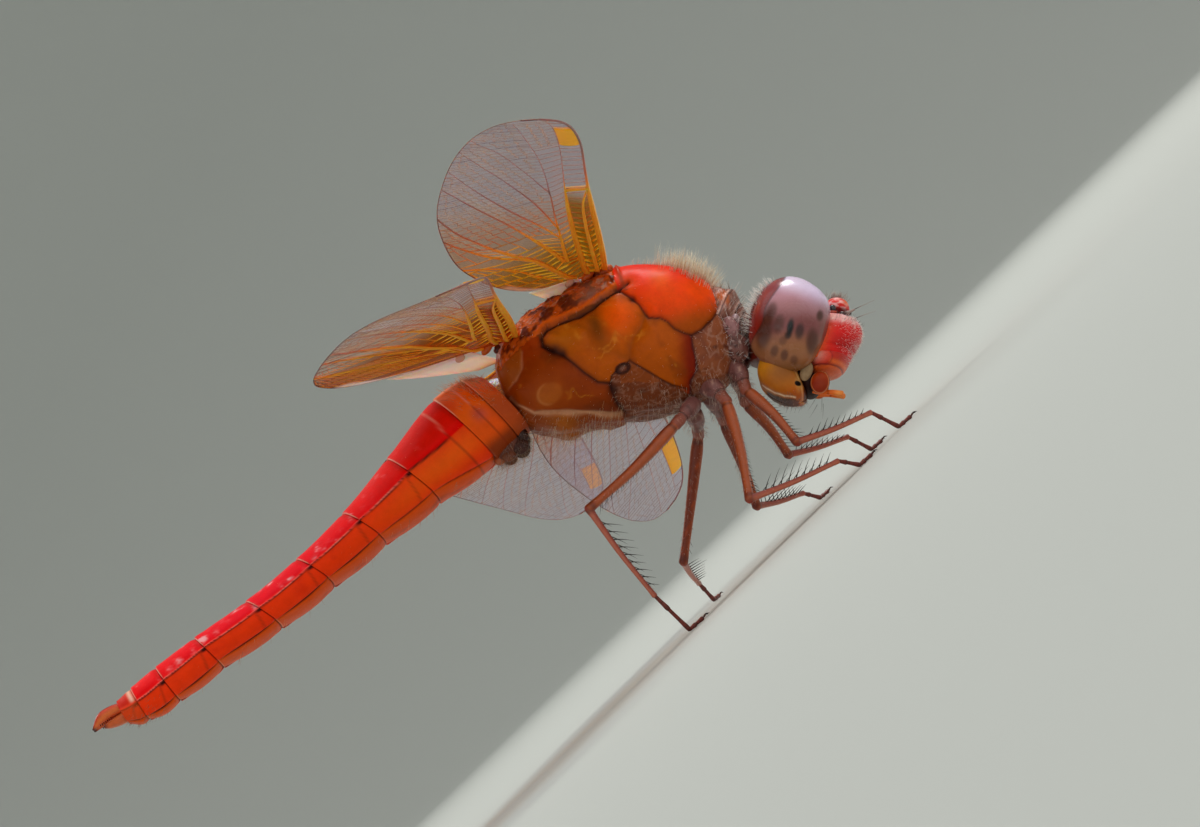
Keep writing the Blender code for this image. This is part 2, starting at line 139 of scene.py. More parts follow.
class Paint:  # a colour for each point of a surface
    def __init__(self, count, colour):
        self.colour = np.tile(np.array(opaque(colour)), (count, 1))

    def lay(self, *coats, within=1):  # coats of a colour and the share it covers, kept within an area
        for colour, share in coats:
            share = np.clip(np.asarray(within * share, float), 0, 1)[:, None]
            self.colour[:, :3] = self.colour[:, :3] * (1 - share) + np.array(rgb(*colour)) * share
        return self


def addObject(name, data):
    made = bpy.data.objects.new(name, data)
    bpy.context.scene.collection.objects.link(made)
    return made


def meshFrom(bm, name):
    mesh = bpy.data.meshes.new(name)
    bm.to_mesh(mesh)
    bm.free()
    return mesh


def readPoints(mesh):
    flat = np.empty(len(mesh.vertices) * 3)
    mesh.vertices.foreach_get("co", flat)
    return flat.reshape(-1, 3)


def setPoints(mesh, points):
    mesh.vertices.foreach_set("co", np.ascontiguousarray(points, float).ravel())


def setLayers(mesh, layers):
    for key, values in layers.items():
        values = np.asarray(values, float)
        kind, field = ("FLOAT_COLOR", "color") if values.ndim == 2 else ("FLOAT", "value")
        layer = mesh.attributes.new(key, kind, "POINT")
        layer.data.foreach_set(field, np.ascontiguousarray(values).ravel())


def repaint(mesh, paint):
    mesh.attributes["tint"].data.foreach_set("color", paint.colour.ravel())


def tidyMesh(mesh, gap=1e-4):  # seams and poles closed, faces outwards; still in millimetres
    bm = bmesh.new()
    bm.from_mesh(mesh)
    bmesh.ops.remove_doubles(bm, verts=bm.verts[:], dist=gap)
    bmesh.ops.dissolve_degenerate(bm, edges=bm.edges[:], dist=gap / 2)
    bmesh.ops.recalc_face_normals(bm, faces=bm.faces[:])
    bm.to_mesh(mesh)
    bm.free()


def thicken(mesh, thickness):  # an open sheet gets a wall
    bm = bmesh.new()
    bm.from_mesh(mesh)
    bmesh.ops.recalc_face_normals(bm, faces=bm.faces[:])
    bmesh.ops.solidify(bm, geom=bm.faces[:], thickness=thickness)
    bm.to_mesh(mesh)
    bm.free()


def surfaceMesh(name, columns, rows, shape, closed=True):
    # a grid carried onto a surface by shape(s, t), both from 0 to 1
    bm = bmesh.new()
    bmesh.ops.create_grid(bm, x_segments=columns, y_segments=rows, size=1.0)
    mesh = meshFrom(bm, name)
    flat = readPoints(mesh)
    points, layers = shape((flat[:, 0] + 1) / 2, (flat[:, 1] + 1) / 2)
    setPoints(mesh, points)
    setLayers(mesh, layers)
    if closed:
        tidyMesh(mesh)
    return mesh


def joinMeshes(name, meshes):  # several meshes as one, with their colours kept by name
    objects = [addObject(name, mesh) for mesh in meshes]
    if len(objects) > 1:
        chosen = {"active_object": objects[0], "object": objects[0], "selected_objects": objects}
        with bpy.context.temp_override(**chosen, selected_editable_objects=objects):
            bpy.ops.object.join()
    joined = objects[0].data
    bpy.data.objects.remove(objects[0])
    return joined


def putPiece(name, mesh, place, finish, replaced=()):  # from a maker's frame into the object, on its body
    if isinstance(mesh, list):
        mesh = joinMeshes(name, mesh)
    mesh.transform(place @ Matrix.Scale(mm, 4))
    mesh.polygons.foreach_set("use_smooth", [True] * len(mesh.polygons))
    mesh.materials.clear()
    mesh.materials.append(finish)
    piece = addObject(name, mesh)
    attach(piece, "root")
    if replaced:
        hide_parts(*replaced)
    return piece


def blobMesh(name, centre, radii, colour, turn=(0, 0, 0), segments=32, rings=20, dent=None):  # a rounded lump
    bm = bmesh.new()
    bmesh.ops.create_uvsphere(bm, u_segments=segments, v_segments=rings, radius=1.0)
    mesh = meshFrom(bm, name)
    if dent:
        setPoints(mesh, dent(readPoints(mesh)))
    spin = Matrix()
    for degrees, axis in zip(turn, "XYZ"):
        spin = Matrix.Rotation(math.radians(degrees), 4, axis) @ spin
    mesh.transform(Matrix.Translation(centre) @ spin @ Matrix.Diagonal((*radii, 1.0)))
    setLayers(mesh, {"tint": Paint(len(mesh.vertices), colour).colour})
    return mesh


def tubeMesh(name, path, radii, sides, paint, count=24, flatten=1.0, above=(0, 0, 1), ends=0.06):
    # a limb along a path, rounded at both ends
    keys = np.linspace(0, 1, 200)
    centres = smoothPath(path, len(keys))

    def pathAt(share):
        return np.array([np.interp(share, keys, centres[:, axis]) for axis in range(3)]).T

    def shape(s, t):
        along = np.clip((s - ends / 2) / (1 - ends), 0, 1)
        direction = unit(pathAt(np.minimum(along + 0.01, 1)) - pathAt(np.maximum(along - 0.01, 0)))
        aside = unit(np.cross(direction, np.array(above, float)))
        upward = np.cross(aside, direction)
        radius = smoothTable(radii, along)[0]
        cap, shrink = endCaps(s, ends / 2)
        push = np.where(s < 0.5, -1, 1) * (1 - cap) * radius * 0.7
        angle = t * fullTurn
        points = pathAt(along) + direction * push[:, None]
        points = points + aside * (np.sin(angle) * radius * shrink * flatten)[:, None]
        points = points + upward * (np.cos(angle) * radius * shrink)[:, None]
        return points, {"tint": paint(along, angle)}

    return surfaceMesh(name, count, sides, shape)


def strandTemplate(sides, joints):  # one tapering strand along Z, one long and one wide
    bm = bmesh.new()
    bmesh.ops.create_cone(bm, cap_ends=True, segments=sides, radius1=1.0, radius2=0.12, depth=1.0)
    bmesh.ops.translate(bm, verts=bm.verts[:], vec=(0, 0, 0.5))
    lengthwise = [edge for edge in bm.edges if abs(edge.verts[0].co.z - edge.verts[1].co.z) > 0.5]
    bmesh.ops.subdivide_edges(bm, edges=lengthwise, cuts=joints)
    bm.verts.index_update()
    points = np.array([vertex.co[:] for vertex in bm.verts])
    faces = [[vertex.index for vertex in face.verts] for face in bm.faces]
    bm.free()
    return points, faces


def strandsMesh(name, roots, ways, lengths, widths, bends, colours, sides=3, joints=2, patches=None):
    # many strands as one mesh; each tip leans by its bend, in shares of its length,
    # and a patch is the place of its root on the unrolled skin
    template, faces = strandTemplate(sides, joints)
    roots, ways = np.asarray(roots, float), unit(np.asarray(ways, float))
    lengths, widths = np.asarray(lengths, float)[:, None], np.asarray(widths, float)[:, None]
    count, size = len(roots), len(template)
    steep = np.abs(ways[:, 2:]) >= 0.9
    aside = unit(np.cross(ways, np.where(steep, [[1.0, 0, 0]], [[0, 0, 1.0]])))
    other = np.cross(ways, aside)
    height = template[:, 2]
    points = roots[:, None] + ways[:, None] * (lengths * height)[..., None]
    points += np.asarray(bends, float)[:, None] * (lengths * height**2)[..., None]
    for direction, wide in ((aside, template[:, 0]), (other, template[:, 1])):
        points += direction[:, None] * (widths * wide)[..., None]
    starts = range(0, count * size, size)
    corners = [[corner + start for corner in face] for start in starts for face in faces]
    mesh = bpy.data.meshes.new(name)
    mesh.from_pydata(points.reshape(-1, 3), [], corners)
    setLayers(mesh, {"tint": np.repeat(np.asarray(colours, float), size, axis=0), "tip": np.tile(height, count)})
    if patches is not None:
        layer = mesh.uv_layers.new(name="OFBake")
        corners = np.empty(len(mesh.loops), np.int32)
        mesh.loops.foreach_get("vertex_index", corners)
        spots = np.clip(np.asarray(patches, float)[corners // size], 0.004, 0.996)
        spots = spots + np.stack([template[corners % size, 0], template[corners % size, 2] * 2 - 1], 1) * 0.0015
        layer.data.foreach_set("uv", spots.ravel())
    return mesh


def feed(tree, node, inputs):  # a socket gets a link from another socket, or its own fixed value
    for key, value in inputs.items():
        if isinstance(value, bpy.types.NodeSocket):
            tree.links.new(value, node.inputs[key])
        else:
            node.inputs[key].default_value = value


def addNode(tree, kind, inputs=None, **settings):
    made = tree.nodes.new("ShaderNode" + kind)
    for key, value in settings.items():
        setattr(made, key, value)
    feed(tree, made, inputs or {})
    return made


def mixColour(tree, share, first, second, blend="MIX"):
    inputs = {0: share, 6: first, 7: second}
    return addNode(tree, "Mix", inputs, data_type="RGBA", blend_type=blend).outputs[2]


def times(tree, colour, factors):
    return mixColour(tree, 1.0, colour, (*factors, 1), "MULTIPLY")


def rangeOf(tree, value, low, high, toLow, toHigh):
    inputs = {"Value": value, "From Min": low, "From Max": high, "To Min": toLow, "To Max": toHigh}
    return addNode(tree, "MapRange", inputs).outputs[0]


def layerOf(tree, name, output="Color"):
    return addNode(tree, "Attribute", attribute_name=name).outputs[output]


def clouds(tree, place, size, detail, **more):  # soft noise, its size in millimetres
    inputs = {"Vector": place, "Scale": 1 / (size * mm), "Detail": detail, **more}
    return addNode(tree, "TexNoise", inputs).outputs[0]


def cells(tree, place, size, randomness):  # how far the middle of the nearest small cell is
    inputs = {"Vector": place, "Scale": 1 / (size * mm), "Randomness": randomness}
    return addNode(tree, "TexVoronoi", inputs, feature="F1").outputs["Distance"]


def bumps(tree, height, strength, depth, **settings):
    inputs = {"Height": height, "Strength": strength, "Distance": depth * mm}
    return addNode(tree, "Bump", inputs, **settings).outputs[0]


def startMaterial(name):
    made = bpy.data.materials.new(name)
    made.use_nodes = True
    tree = made.node_tree
    return made, tree, tree.nodes["Principled BSDF"], addNode(tree, "TexCoord").outputs["Object"]


cuticleLook = {
    "roughness": 0.4, "coat": 0.25, "mottle": 0.25, "mottleSize": 0.9, "pits": 0.0, "pitSize": 0.12,
    "wrinkle": 0.35, "wrinkleSize": 0.25, "glow": 0.0, "shine": 0.25,
}


def cuticle(name, **changes):  # insect shell: its painted tint, mottled, with fine wrinkles, pits and a waxy coat
    look = {**cuticleLook, **changes}
    made, tree, shader, place = startMaterial(name)
    tint = layerOf(tree, "tint")
    cloud = clouds(tree, place, look["mottleSize"], 4.0, Roughness=0.6)
    grain = clouds(tree, place, look["wrinkleSize"], 5.0, Roughness=0.7)
    darker = times(tree, tint, (0.55, 0.45, 0.4))
    colour = mixColour(tree, rangeOf(tree, cloud, 0.35, 0.72, 0.0, look["mottle"]), tint, darker)
    lighter = times(tree, tint, (1.25, 1.2, 1.2))
    colour = mixColour(tree, rangeOf(tree, grain, 0.5, 0.8, 0.0, look["mottle"]), colour, lighter)
    height = rangeOf(tree, grain, 0.2, 0.8, 0.0, look["wrinkle"])
    if look["pits"]:
        pores = cells(tree, place, look["pitSize"], 0.8)
        hollow = rangeOf(tree, pores, 0.0, 0.35, 0.0, look["pits"])
        height = addNode(tree, "Math", {0: height, 1: hollow}, operation="ADD").outputs[0]
        share = rangeOf(tree, pores, 0.05, 0.3, 0.45 * min(look["pits"], 1.0), 0.0)
        colour = mixColour(tree, share, colour, darker)
    feed(tree, shader, {
        "Base Color": colour, "Normal": bumps(tree, height, 0.55, 0.03),
        "Roughness": rangeOf(tree, grain, 0.3, 0.7, look["roughness"] - 0.08, look["roughness"] + 0.12),
        "Coat Weight": look["coat"], "Coat Roughness": 0.18, "Specular IOR Level": look["shine"],
        "Subsurface Weight": look["glow"], "Subsurface Radius": (1.0, 0.35, 0.1), "Subsurface Scale": 0.6 * mm,
    })
    return made


# where things are: the trunk's frame over the floor, and its lean to the insect's left in degrees
stance = {"height": 15.0, "lean": -12.5}
thoraxPlan = {
    "centre": (4.0, 0.0, 2.0), "pitch": 24.0, "roundness": 2.3, "rear": -8.3, "front": 7.2,
    "stations": (  # along, low edge, high edge, half width
        (-8.3, -1.4, 2.5, 1.9), (-7.6, -2.9, 3.6, 2.8), (-6.0, -3.5, 4.35, 3.6), (-3.5, -4.2, 4.95, 4.0),
        (0.0, -4.8, 5.5, 4.2), (2.3, -5.1, 5.4, 4.1), (4.3, -5.0, 4.75, 3.8), (6.0, -4.6, 3.8, 3.2),
        (7.2, -3.5, 2.6, 2.3),
    ),
}
headPlan = {"centre": (13.2, 0.0, -5.2), "pitch": 47.0}


def boxMiddle(node):
    low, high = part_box(node)
    return (low + high) / 2 / mm


def pitched(plan):
    return Matrix.Translation(plan["centre"]) @ Matrix.Rotation(math.radians(plan["pitch"]), 4, "Y")


def thoraxRing(along, angle):  # low edge, high edge, half width, and the shell's place across and up
    low, high, half = smoothTable(thoraxPlan["stations"], along)
    return low, high, half, *ringPoint(low, high, half, angle, thoraxPlan["roundness"], thoraxPlan["roundness"])


leanTurn = Matrix.Rotation(math.radians(stance["lean"]), 4, "X")
inTrunk = Matrix.Translation((0, 0, stance["height"])) @ leanTurn
inThorax = inTrunk @ pitched(thoraxPlan)
# the whole stance is set where the thorax of the frame says
along = np.repeat(np.linspace(thoraxPlan["rear"], thoraxPlan["front"], 13), 24)
low, high, half, across, up = thoraxRing(along, np.tile(np.arange(24) * math.pi / 12, 13))
shell = np.array([inThorax @ Vector(point) for point in zip(along, across, up)])
shift = boxMiddle("thorax") - Vector((shell.max(0) + shell.min(0)) / 2)
print("stance shift in mm", [round(value, 3) for value in shift])
standing = Matrix.Scale(mm, 4) @ Matrix.Translation((shift.x, shift.y, 0.0)) @ Matrix.Scale(1 / mm, 4)


def metres(matrix):  # a frame written in millimetres, for meshes that are scaled to metres first
    return standing @ Matrix.Translation(matrix.to_translation() * mm) @ matrix.to_3x3().to_4x4()


trunkFrame = metres(inTrunk)
thoraxFrame = metres(inThorax)
headFrame = metres(inTrunk @ pitched(headPlan))

cameraPlan = {"place": (-33.43, -318.09, 5.0), "aim": (0.0, 0.0, 15.0), "roll": -44.0, "lens": 140.16}
cameraData = bpy.data.cameras.new("camera")
cameraData.lens, cameraData.sensor_width = cameraPlan["lens"], 36.0
cameraData.clip_start, cameraData.clip_end = 0.01, 20.0
camera = addObject("camera", cameraData)
look = Vector(cameraPlan["aim"]) - Vector(cameraPlan["place"])
roll = Matrix.Rotation(math.radians(cameraPlan["roll"]), 4, "Z")
turn = look.to_track_quat("-Z", "Y").to_matrix().to_4x4() @ roll
camera.matrix_world = standing @ Matrix.Translation(Vector(cameraPlan["place"]) * mm) @ turn
bpy.context.scene.camera = camera

# sizes in metres; the floor rises in a bend behind the object
floorPlan = {
    "radius": 1.1, "bend": 0.75, "rise": 1.1, "rings": 6, "bendRings": 12, "sides": 72, "colour": (196, 200, 195),
    "grain": 900.0,
}
bm = bmesh.new()
profile = [(floorPlan["bend"] * step / floorPlan["rings"], 0.0) for step in range(floorPlan["rings"] + 1)]
reach = floorPlan["radius"] - floorPlan["bend"]
for step in range(1, floorPlan["bendRings"] + 1):
    sweep = math.pi / 2 * step / floorPlan["bendRings"]
    profile.append((floorPlan["bend"] + reach * math.sin(sweep), reach * (1 - math.cos(sweep))))
profile.append((floorPlan["radius"], floorPlan["rise"]))
corners = [bm.verts.new((x, 0, z)) for x, z in profile]
for first, second in zip(corners, corners[1:]):
    bm.edges.new((first, second))
bmesh.ops.spin(
    bm, geom=bm.verts[:] + bm.edges[:], cent=(0, 0, 0), axis=(0, 0, 1), angle=fullTurn, steps=floorPlan["sides"],
    use_merge=True,
)
bmesh.ops.remove_doubles(bm, verts=bm.verts[:], dist=1e-5)
bmesh.ops.recalc_face_normals(bm, faces=bm.faces[:])
floorMesh = meshFrom(bm, "floor")
floorMesh.polygons.foreach_set("use_smooth", [True] * len(floorMesh.polygons))
floorPaint, tree, shader, place = startMaterial("floor_paper")
grain = addNode(tree, "TexNoise", {"Vector": place, "Scale": floorPlan["grain"], "Detail": 3.0}).outputs[0]
feed(tree, shader, {
    "Base Color": opaque(floorPlan["colour"]), "Roughness": 0.9, "Normal": bumps(tree, grain, 0.05, 0.1),
})
floorMesh.materials.append(floorPaint)
floor = addObject("floor", floorMesh)

lights = {  # place round the object in metres, width, strength in watts, colour
    "key": ((0.42, 0.16, 0.5), 0.28, 2.3, (1.0, 0.97, 0.93)),
    "front": ((0.3, -0.62, 0.42), 1.5, 4.2, (1.0, 0.97, 0.94)),
    "fill": ((-0.55, -0.45, 0.3), 1.0, 0.9, (0.93, 0.96, 1.0)),
    "back": ((-0.25, 0.5, 0.55), 0.4, 1.3, (1.0, 0.98, 0.95)),
    "top": ((0.0, 0.0, 0.75), 0.5, 0.6, (1.0, 1.0, 1.0)),
}
for lightName, (spot, width, strength, colour) in lights.items():
    lamp = bpy.data.lights.new(lightName, "AREA")
    lamp.shape, lamp.size, lamp.energy, lamp.color = "DISK", width, strength, colour
    holder = addObject(lightName, lamp)
    holder.location = spot
    holder.rotation_euler = (Vector((0, 0, 0.015)) - Vector(spot)).to_track_quat("-Z", "Y").to_euler()
world = bpy.data.worlds.new("studio")
bpy.context.scene.world = world
world.use_nodes = True
feed(world.node_tree, world.node_tree.nodes["Background"], {0: (0.8, 0.83, 0.85, 1), 1: 0.2})
bpy.context.scene.view_settings.view_transform = "Standard"
print("camera, floor and light set")


thorax = {
    "front": (248, 74, 0), "frontTop": (242, 28, 0), "shoulder": (186, 84, 0), "shoulderLow": (126, 10, 0),
    "middle": (192, 88, 0), "rear": (150, 58, 0), "low": (120, 58, 28), "collar": (150, 82, 50),
    "belly": (138, 66, 14), "notum": (206, 92, 20), "seam": (44, 16, 14),
    "columns": 236, "rows": 368, "puff": 0.2, "breath": (-0.3, -2.1), "oval": (-5.5, -1.75),
    # seams of the right side, along and up
    "dorsalSeam": [
        (1.25, 3.3), (1.9, 2.35), (2.25, 1.65), (2.4, 1.0), (2.55, 0.55), (3.3, 0.25), (3.65, -0.15), (3.9, -0.75),
        (4.35, -1.2), (4.85, -1.55), (5.55, -1.4), (6.55, -0.8), (7.4, 0.0),
    ],
    "darkBand": [
        (2.05, 3.6), (1.25, 3.25), (0.7, 3.15), (-0.1, 2.9), (-0.8, 2.6), (-1.7, 2.42), (-2.4, 2.45), (-3.35, 2.5),
        (-4.25, 2.4), (-4.75, 2.0), (-4.85, 1.4), (-4.4, 0.85),
    ],
    "rearBand": [
        (-4.85, 1.4), (-4.4, 0.85), (-3.8, 0.25), (-3.35, -0.55), (-2.85, -1.45), (-2.2, -2.35), (-1.5, -2.7),
        (-1.55, -3.25), (-1.5, -3.95), (-1.2, -4.5),
    ],
    "breathSeam": [
        (-1.4, -2.65), (-1.2, -2.3), (-0.65, -2.05), (0.0, -1.9), (0.3, -1.8), (1.05, -2.65), (1.85, -3.6),
        (2.45, -4.15), (3.3, -4.6),
    ],
    "shoulderRear": [(2.4, 1.0), (1.85, 0.15), (1.05, -0.4), (0.6, -1.0), (0.35, -1.6), (0.3, -1.8)],
    "shoulderFront": [(4.85, -1.55), (4.65, -2.35), (4.55, -3.2), (4.35, -3.8), (3.7, -4.3), (3.4, -4.9)],
    "rearEdge": [(-6.35, 1.6), (-6.55, 1.0), (-6.75, 0.5), (-7.4, 0.0), (-8.05, -0.15)],
    "rearFoot": [
        (-8.2, -0.7), (-7.9, -1.45), (-7.0, -2.45), (-5.7, -2.85), (-3.8, -3.6), (-2.8, -4.0), (-1.45, -4.45),
    ],
    "middleSeam": [(-1.9, 2.3), (-1.6, 1.2), (-1.75, 0.2), (-1.4, -0.5), (0.3, -1.6)],
    "seams": (  # name, depth, width, darkness, colour
        ("dorsalSeam", 0.11, 0.1, 0.9, (44, 16, 14)), ("darkBand", 0.18, 0.16, 1.0, (44, 16, 14)),
        ("rearBand", 0.14, 0.13, 0.95, (44, 16, 14)), ("breathSeam", 0.09, 0.08, 0.85, (60, 22, 14)),
        ("shoulderRear", 0.12, 0.3, 0.3, (120, 60, 14)), ("shoulderFront", 0.12, 0.11, 0.85, (70, 30, 34)),
        ("rearEdge", 0.1, 0.12, 0.55, (200, 130, 90)), ("rearFoot", 0.12, 0.13, 0.8, (214, 158, 118)),
        ("middleSeam", 0.06, 0.28, 0.1, (120, 60, 20)),
    ),
    "corners": (  # where seams meet, the dark is broad: along, up, reach
        (-4.2, 0.75, 0.42), (-3.8, 0.35, 0.34), (1.95, 2.2, 0.26), (-1.4, -3.1, 0.34),
    ),
    "shields": (  # shields and knobs between the wings: along, reach, rise
        (0.35, 0.8, 0.24), (-1.55, 0.5, 0.22), (-3.6, 0.8, 0.2), (-5.3, 0.45, 0.2),
    ),
    "gaps": (-0.75, -2.4, -4.6, -6.2),  # between the shields
}


def thoraxPlates(u, up):  # which points lie on which plate
    front = inside(u, up, [*thorax["dorsalSeam"], (7.9, 0.4), (7.9, 7.0), (1.6, 7.0)])
    shoulder = inside(u, up, [
        *thorax["dorsalSeam"][3:10], *thorax["shoulderFront"], *thorax["breathSeam"][7:3:-1],
        *thorax["shoulderRear"][::-1],
    ])
    middle = inside(u, up, [
        *thorax["darkBand"], *thorax["rearBand"][2:7], *thorax["breathSeam"][:5], *thorax["shoulderRear"][::-1],
        *thorax["dorsalSeam"][2::-1],
    ])
    rear = inside(u, up, [
        *thorax["rearBand"], *thorax["rearFoot"][::-1], *thorax["rearEdge"][::-1], (-6.2, 2.6), (-4.9, 2.2),
    ])
    backEdge = np.interp(u, [-8.3, -6.4, -4.8, -3.3, -0.1, 1.3, 1.9], [1.2, 1.9, 2.3, 2.55, 3.0, 3.4, 3.7])
    notum = ~front & (up > backEdge) & (u < 2.2)
    collar = (u > 4.6) & ~front & ~shoulder
    lower = ~front & ~shoulder & ~middle & ~rear & ~notum & ~collar & (up < -1.5)
    return front, shoulder, middle, rear, notum, collar, lower


def thoraxShape(s, t):
    cap, shrink = endCaps(s, 0.045)
    rearEnd, frontEnd = thoraxPlan["rear"], thoraxPlan["front"]
    u = rearEnd + (frontEnd - rearEnd) * np.clip((s - 0.03) / 0.94, 0, 1)
    u = u - np.where(s < 0.5, 0.3 * (1 - cap), -0.2 * (1 - cap))
    low, high, half, across, up = thoraxRing(np.clip(u, rearEnd, frontEnd), t * fullTurn)
    centre = (low + high) / 2
    normal = unit(np.stack([np.zeros_like(u), across / half**2, (up - centre) / ((high - low) / 2) ** 2], 1))
    across, up = across * shrink, centre + (up - centre) * shrink
    points = np.stack([u, across, up], 1)
    side = ramp(np.abs(across), 0.7, 1.7)  # seams of the sides fade towards the back and the belly
    front, shoulder, middle, rear, notum, collar, lower = thoraxPlates(u, up)
    warmth, grain, creases = ripple(points, 3.0, 3), ripple(points, 0.9, 14), ripple(points, 1.5, 15)

    def spot(x, y, reach, wide=1.0, tall=1.0):
        return bell(np.hypot((u - x) / wide, (up - y) / tall), reach)

    paint = Paint(len(u), thorax["belly"])
    paint.lay(
        (thorax["rear"], 1), ((172, 76, 4), spot(-5.5, -1.75, 1.5) * 0.75),
        ((104, 34, 4), ramp(up, -2.6, -4.2) * 0.6), ((186, 66, 6), ramp(up, 0.4, 1.6) * 0.6), within=rear,
    )
    paint.lay(
        (thorax["middle"], 1), ((255, 96, 2), spot(0.75, 1.35, 1.25)),
        ((118, 66, 8), spot(-1.0, 1.2, 1.0, 0.55, 1.5) * 0.85), ((198, 118, 22), spot(-3.3, 1.6, 1.2) * 0.6),
        within=middle,
    )
    paint.lay(
        (thorax["shoulder"], 1), (thorax["shoulderLow"], ramp(u - 0.35 * up, 3.9, 5.3) * 0.9),
        ((196, 88, 4), spot(2.6, -1.0, 1.1) * 0.7), ((132, 56, 2), ramp(ripple(points, 2.4, 16), 0.1, 0.9) * 0.6),
        within=shoulder,
    )
    paint.lay(
        (thorax["front"], 1), (thorax["frontTop"], ramp(up, 1.4, 3.6) * 0.9),
        ((160, 76, 2), ramp(-up, -1.0, 0.9) * 0.85), ((254, 116, 20), spot(4.2, 3.0, 0.8) * 0.5),
        ((240, 96, 6), spot(1.9, 3.4, 0.9) * 0.6),
        ((250, 52, 0), ramp(ripple(points, 2.6, 18), 0.0, 0.9) * ramp(up, 0.6, 2.0) * 0.6), within=front,
    )
    paint.lay(
        (thorax["low"], 1), ((92, 40, 26), ramp(warmth, 0.0, 0.9) * 0.5),
        ((196, 150, 128), bell(grain, 0.12) * 0.3), ((54, 26, 22), ramp(creases, 0.3, 1.0) * 0.6), within=lower,
    )
    patch = [(0.3, -1.9), (1.0, -2.75), (1.9, -3.7), (1.2, -3.6), (0.2, -3.1), (-0.8, -2.9), (-0.6, -2.3)]
    paint.lay(((150, 70, 16), inside(u, up, patch) * 0.65))
    paint.lay(
        (thorax["collar"], 1), ((110, 60, 54), ramp(warmth, -0.1, 0.8) * 0.6),
        ((200, 78, 12), ramp(up, -1.0, 0.2) * 0.7), ((212, 170, 150), bell(creases, 0.1) * 0.3),
        ((66, 30, 30), ramp(grain, 0.3, 1.0) * 0.6), within=collar,
    )
    brink = notum * bell(gapToLine(u, up, thorax["darkBand"]) - 0.42, 0.17)  # the glossy ridge above the dark band
    paint.lay(
        (thorax["notum"], 1), ((92, 30, 16), ramp(creases, 0.05, 0.4) * 0.9),
        ((226, 186, 172), ramp(-creases, 0.35, 0.7) * 0.85), ((60, 20, 14), bell(grain, 0.1) * 0.6),
        ((166, 118, 106), spot(-0.6, 3.6, 0.9) * 0.8), within=notum,
    )
    threads = bell(ripple(points, 2.6, 7), 0.05) * ramp(ripple(points, 3.4, 8), -0.2, 0.5)
    paint.lay(
        ((236, 104, 14), brink), ((170, 84, 20), ((u < -5.0) & ~rear & ~notum & (up > -0.8)) * 0.9),
        ((226, 148, 44), threads * (middle | rear | shoulder) * 0.5),  # pale threads under the clear shell
        ((120, 62, 10), ramp(ripple(points, 1.9, 9), 0.35, 1.1) * (middle | shoulder) * 0.45),
        ((96, 44, 8), ramp(ripple(points, 2.2, 10), 0.3, 1.1) * rear * 0.4),
    )
    lift = notum * (0.16 * creases + 0.07 * grain + 0.05 * ripple(points, 0.45, 17)) + 0.14 * brink
    lift += (collar | lower) * (0.05 * creases + 0.035 * grain)

    # the plates under the rear hang a little
    edgeAlong, edgeUp = [-8.3, -7.0, -5.7, -3.8, -2.8, -1.45, 0.0], [-0.7, -2.45, -2.85, -3.6, -4.0, -4.45, -9.0]
    sag = up < np.interp(u, edgeAlong, edgeUp)
    lift += sag * (0.55 * bell(u + 5.4, 1.1) + 0.2 * bell(u + 2.2, 0.9)) * bell(np.abs(across) - 1.2, 1.5)
    paint.lay(((146, 62, 8), sag * 0.85), ((186, 106, 24), sag * bell(u + 5.4, 0.9) * 0.5))

    nearest = np.full_like(u, 9.0)
    for key, depth, width, dark, tone in thorax["seams"]:
        gap = gapToLine(u, up, thorax[key])
        nearest = np.minimum(nearest, gap)
        lift -= side * depth * bell(gap, width)
        wobble = 1 + 0.25 * np.sin(u * 5 + up * 4)
        paint.lay((tone, side * dark * bell(gap, width * 0.72 * wobble)))
        # along the main seams a broad painted shade darkens the edges of the plates, so they look domed
        if key in ("darkBand", "rearBand", "dorsalSeam"):
            paint.lay(((84, 34, 16), side * 0.35 * bell(gap, width * 2.4)))
    lift += side * thorax["puff"] * (1 - bell(nearest, 0.75))
    for x, y, reach in thorax["corners"]:
        paint.lay((thorax["seam"], side * 0.85 * spot(x, y, reach)))
        lift -= side * 0.08 * spot(x, y, reach)
    bx, by = thorax["breath"]  # the breathing hole in its lipped ring
    ring = np.hypot((u - bx) * 0.8 + (up - by) * 0.35, (up - by) * 1.25 - (u - bx) * 0.25)
    lift += side * (0.12 * bell(ring - 0.36, 0.1) - 0.16 * bell(ring, 0.22))
    ox, oy = thorax["oval"]  # the pale oval of the rear plate
    oval = np.hypot((u - ox) / 0.85, (up - oy) / 0.62)
    lift += side * rear * 0.07 * bell(oval, 0.95)
    paint.lay(
        ((60, 26, 20), side * bell(ring - 0.3, 0.12)),
        ((168, 120, 104), side * 0.9 * bell(ring, 0.17)),
        ((30, 12, 12), side * 0.9 * bell(ring - 0.42, 0.06)),
        ((190, 104, 34), side * rear * 0.5 * ramp(1.2 - oval, 0.0, 0.4)),
        # the pale rim on the rear side of the oval is a painted highlight
        ((224, 150, 80), side * rear * 0.35 * bell(oval - 1.05, 0.12) * ramp(-u - 5.3, 0.0, 0.8)),
    )

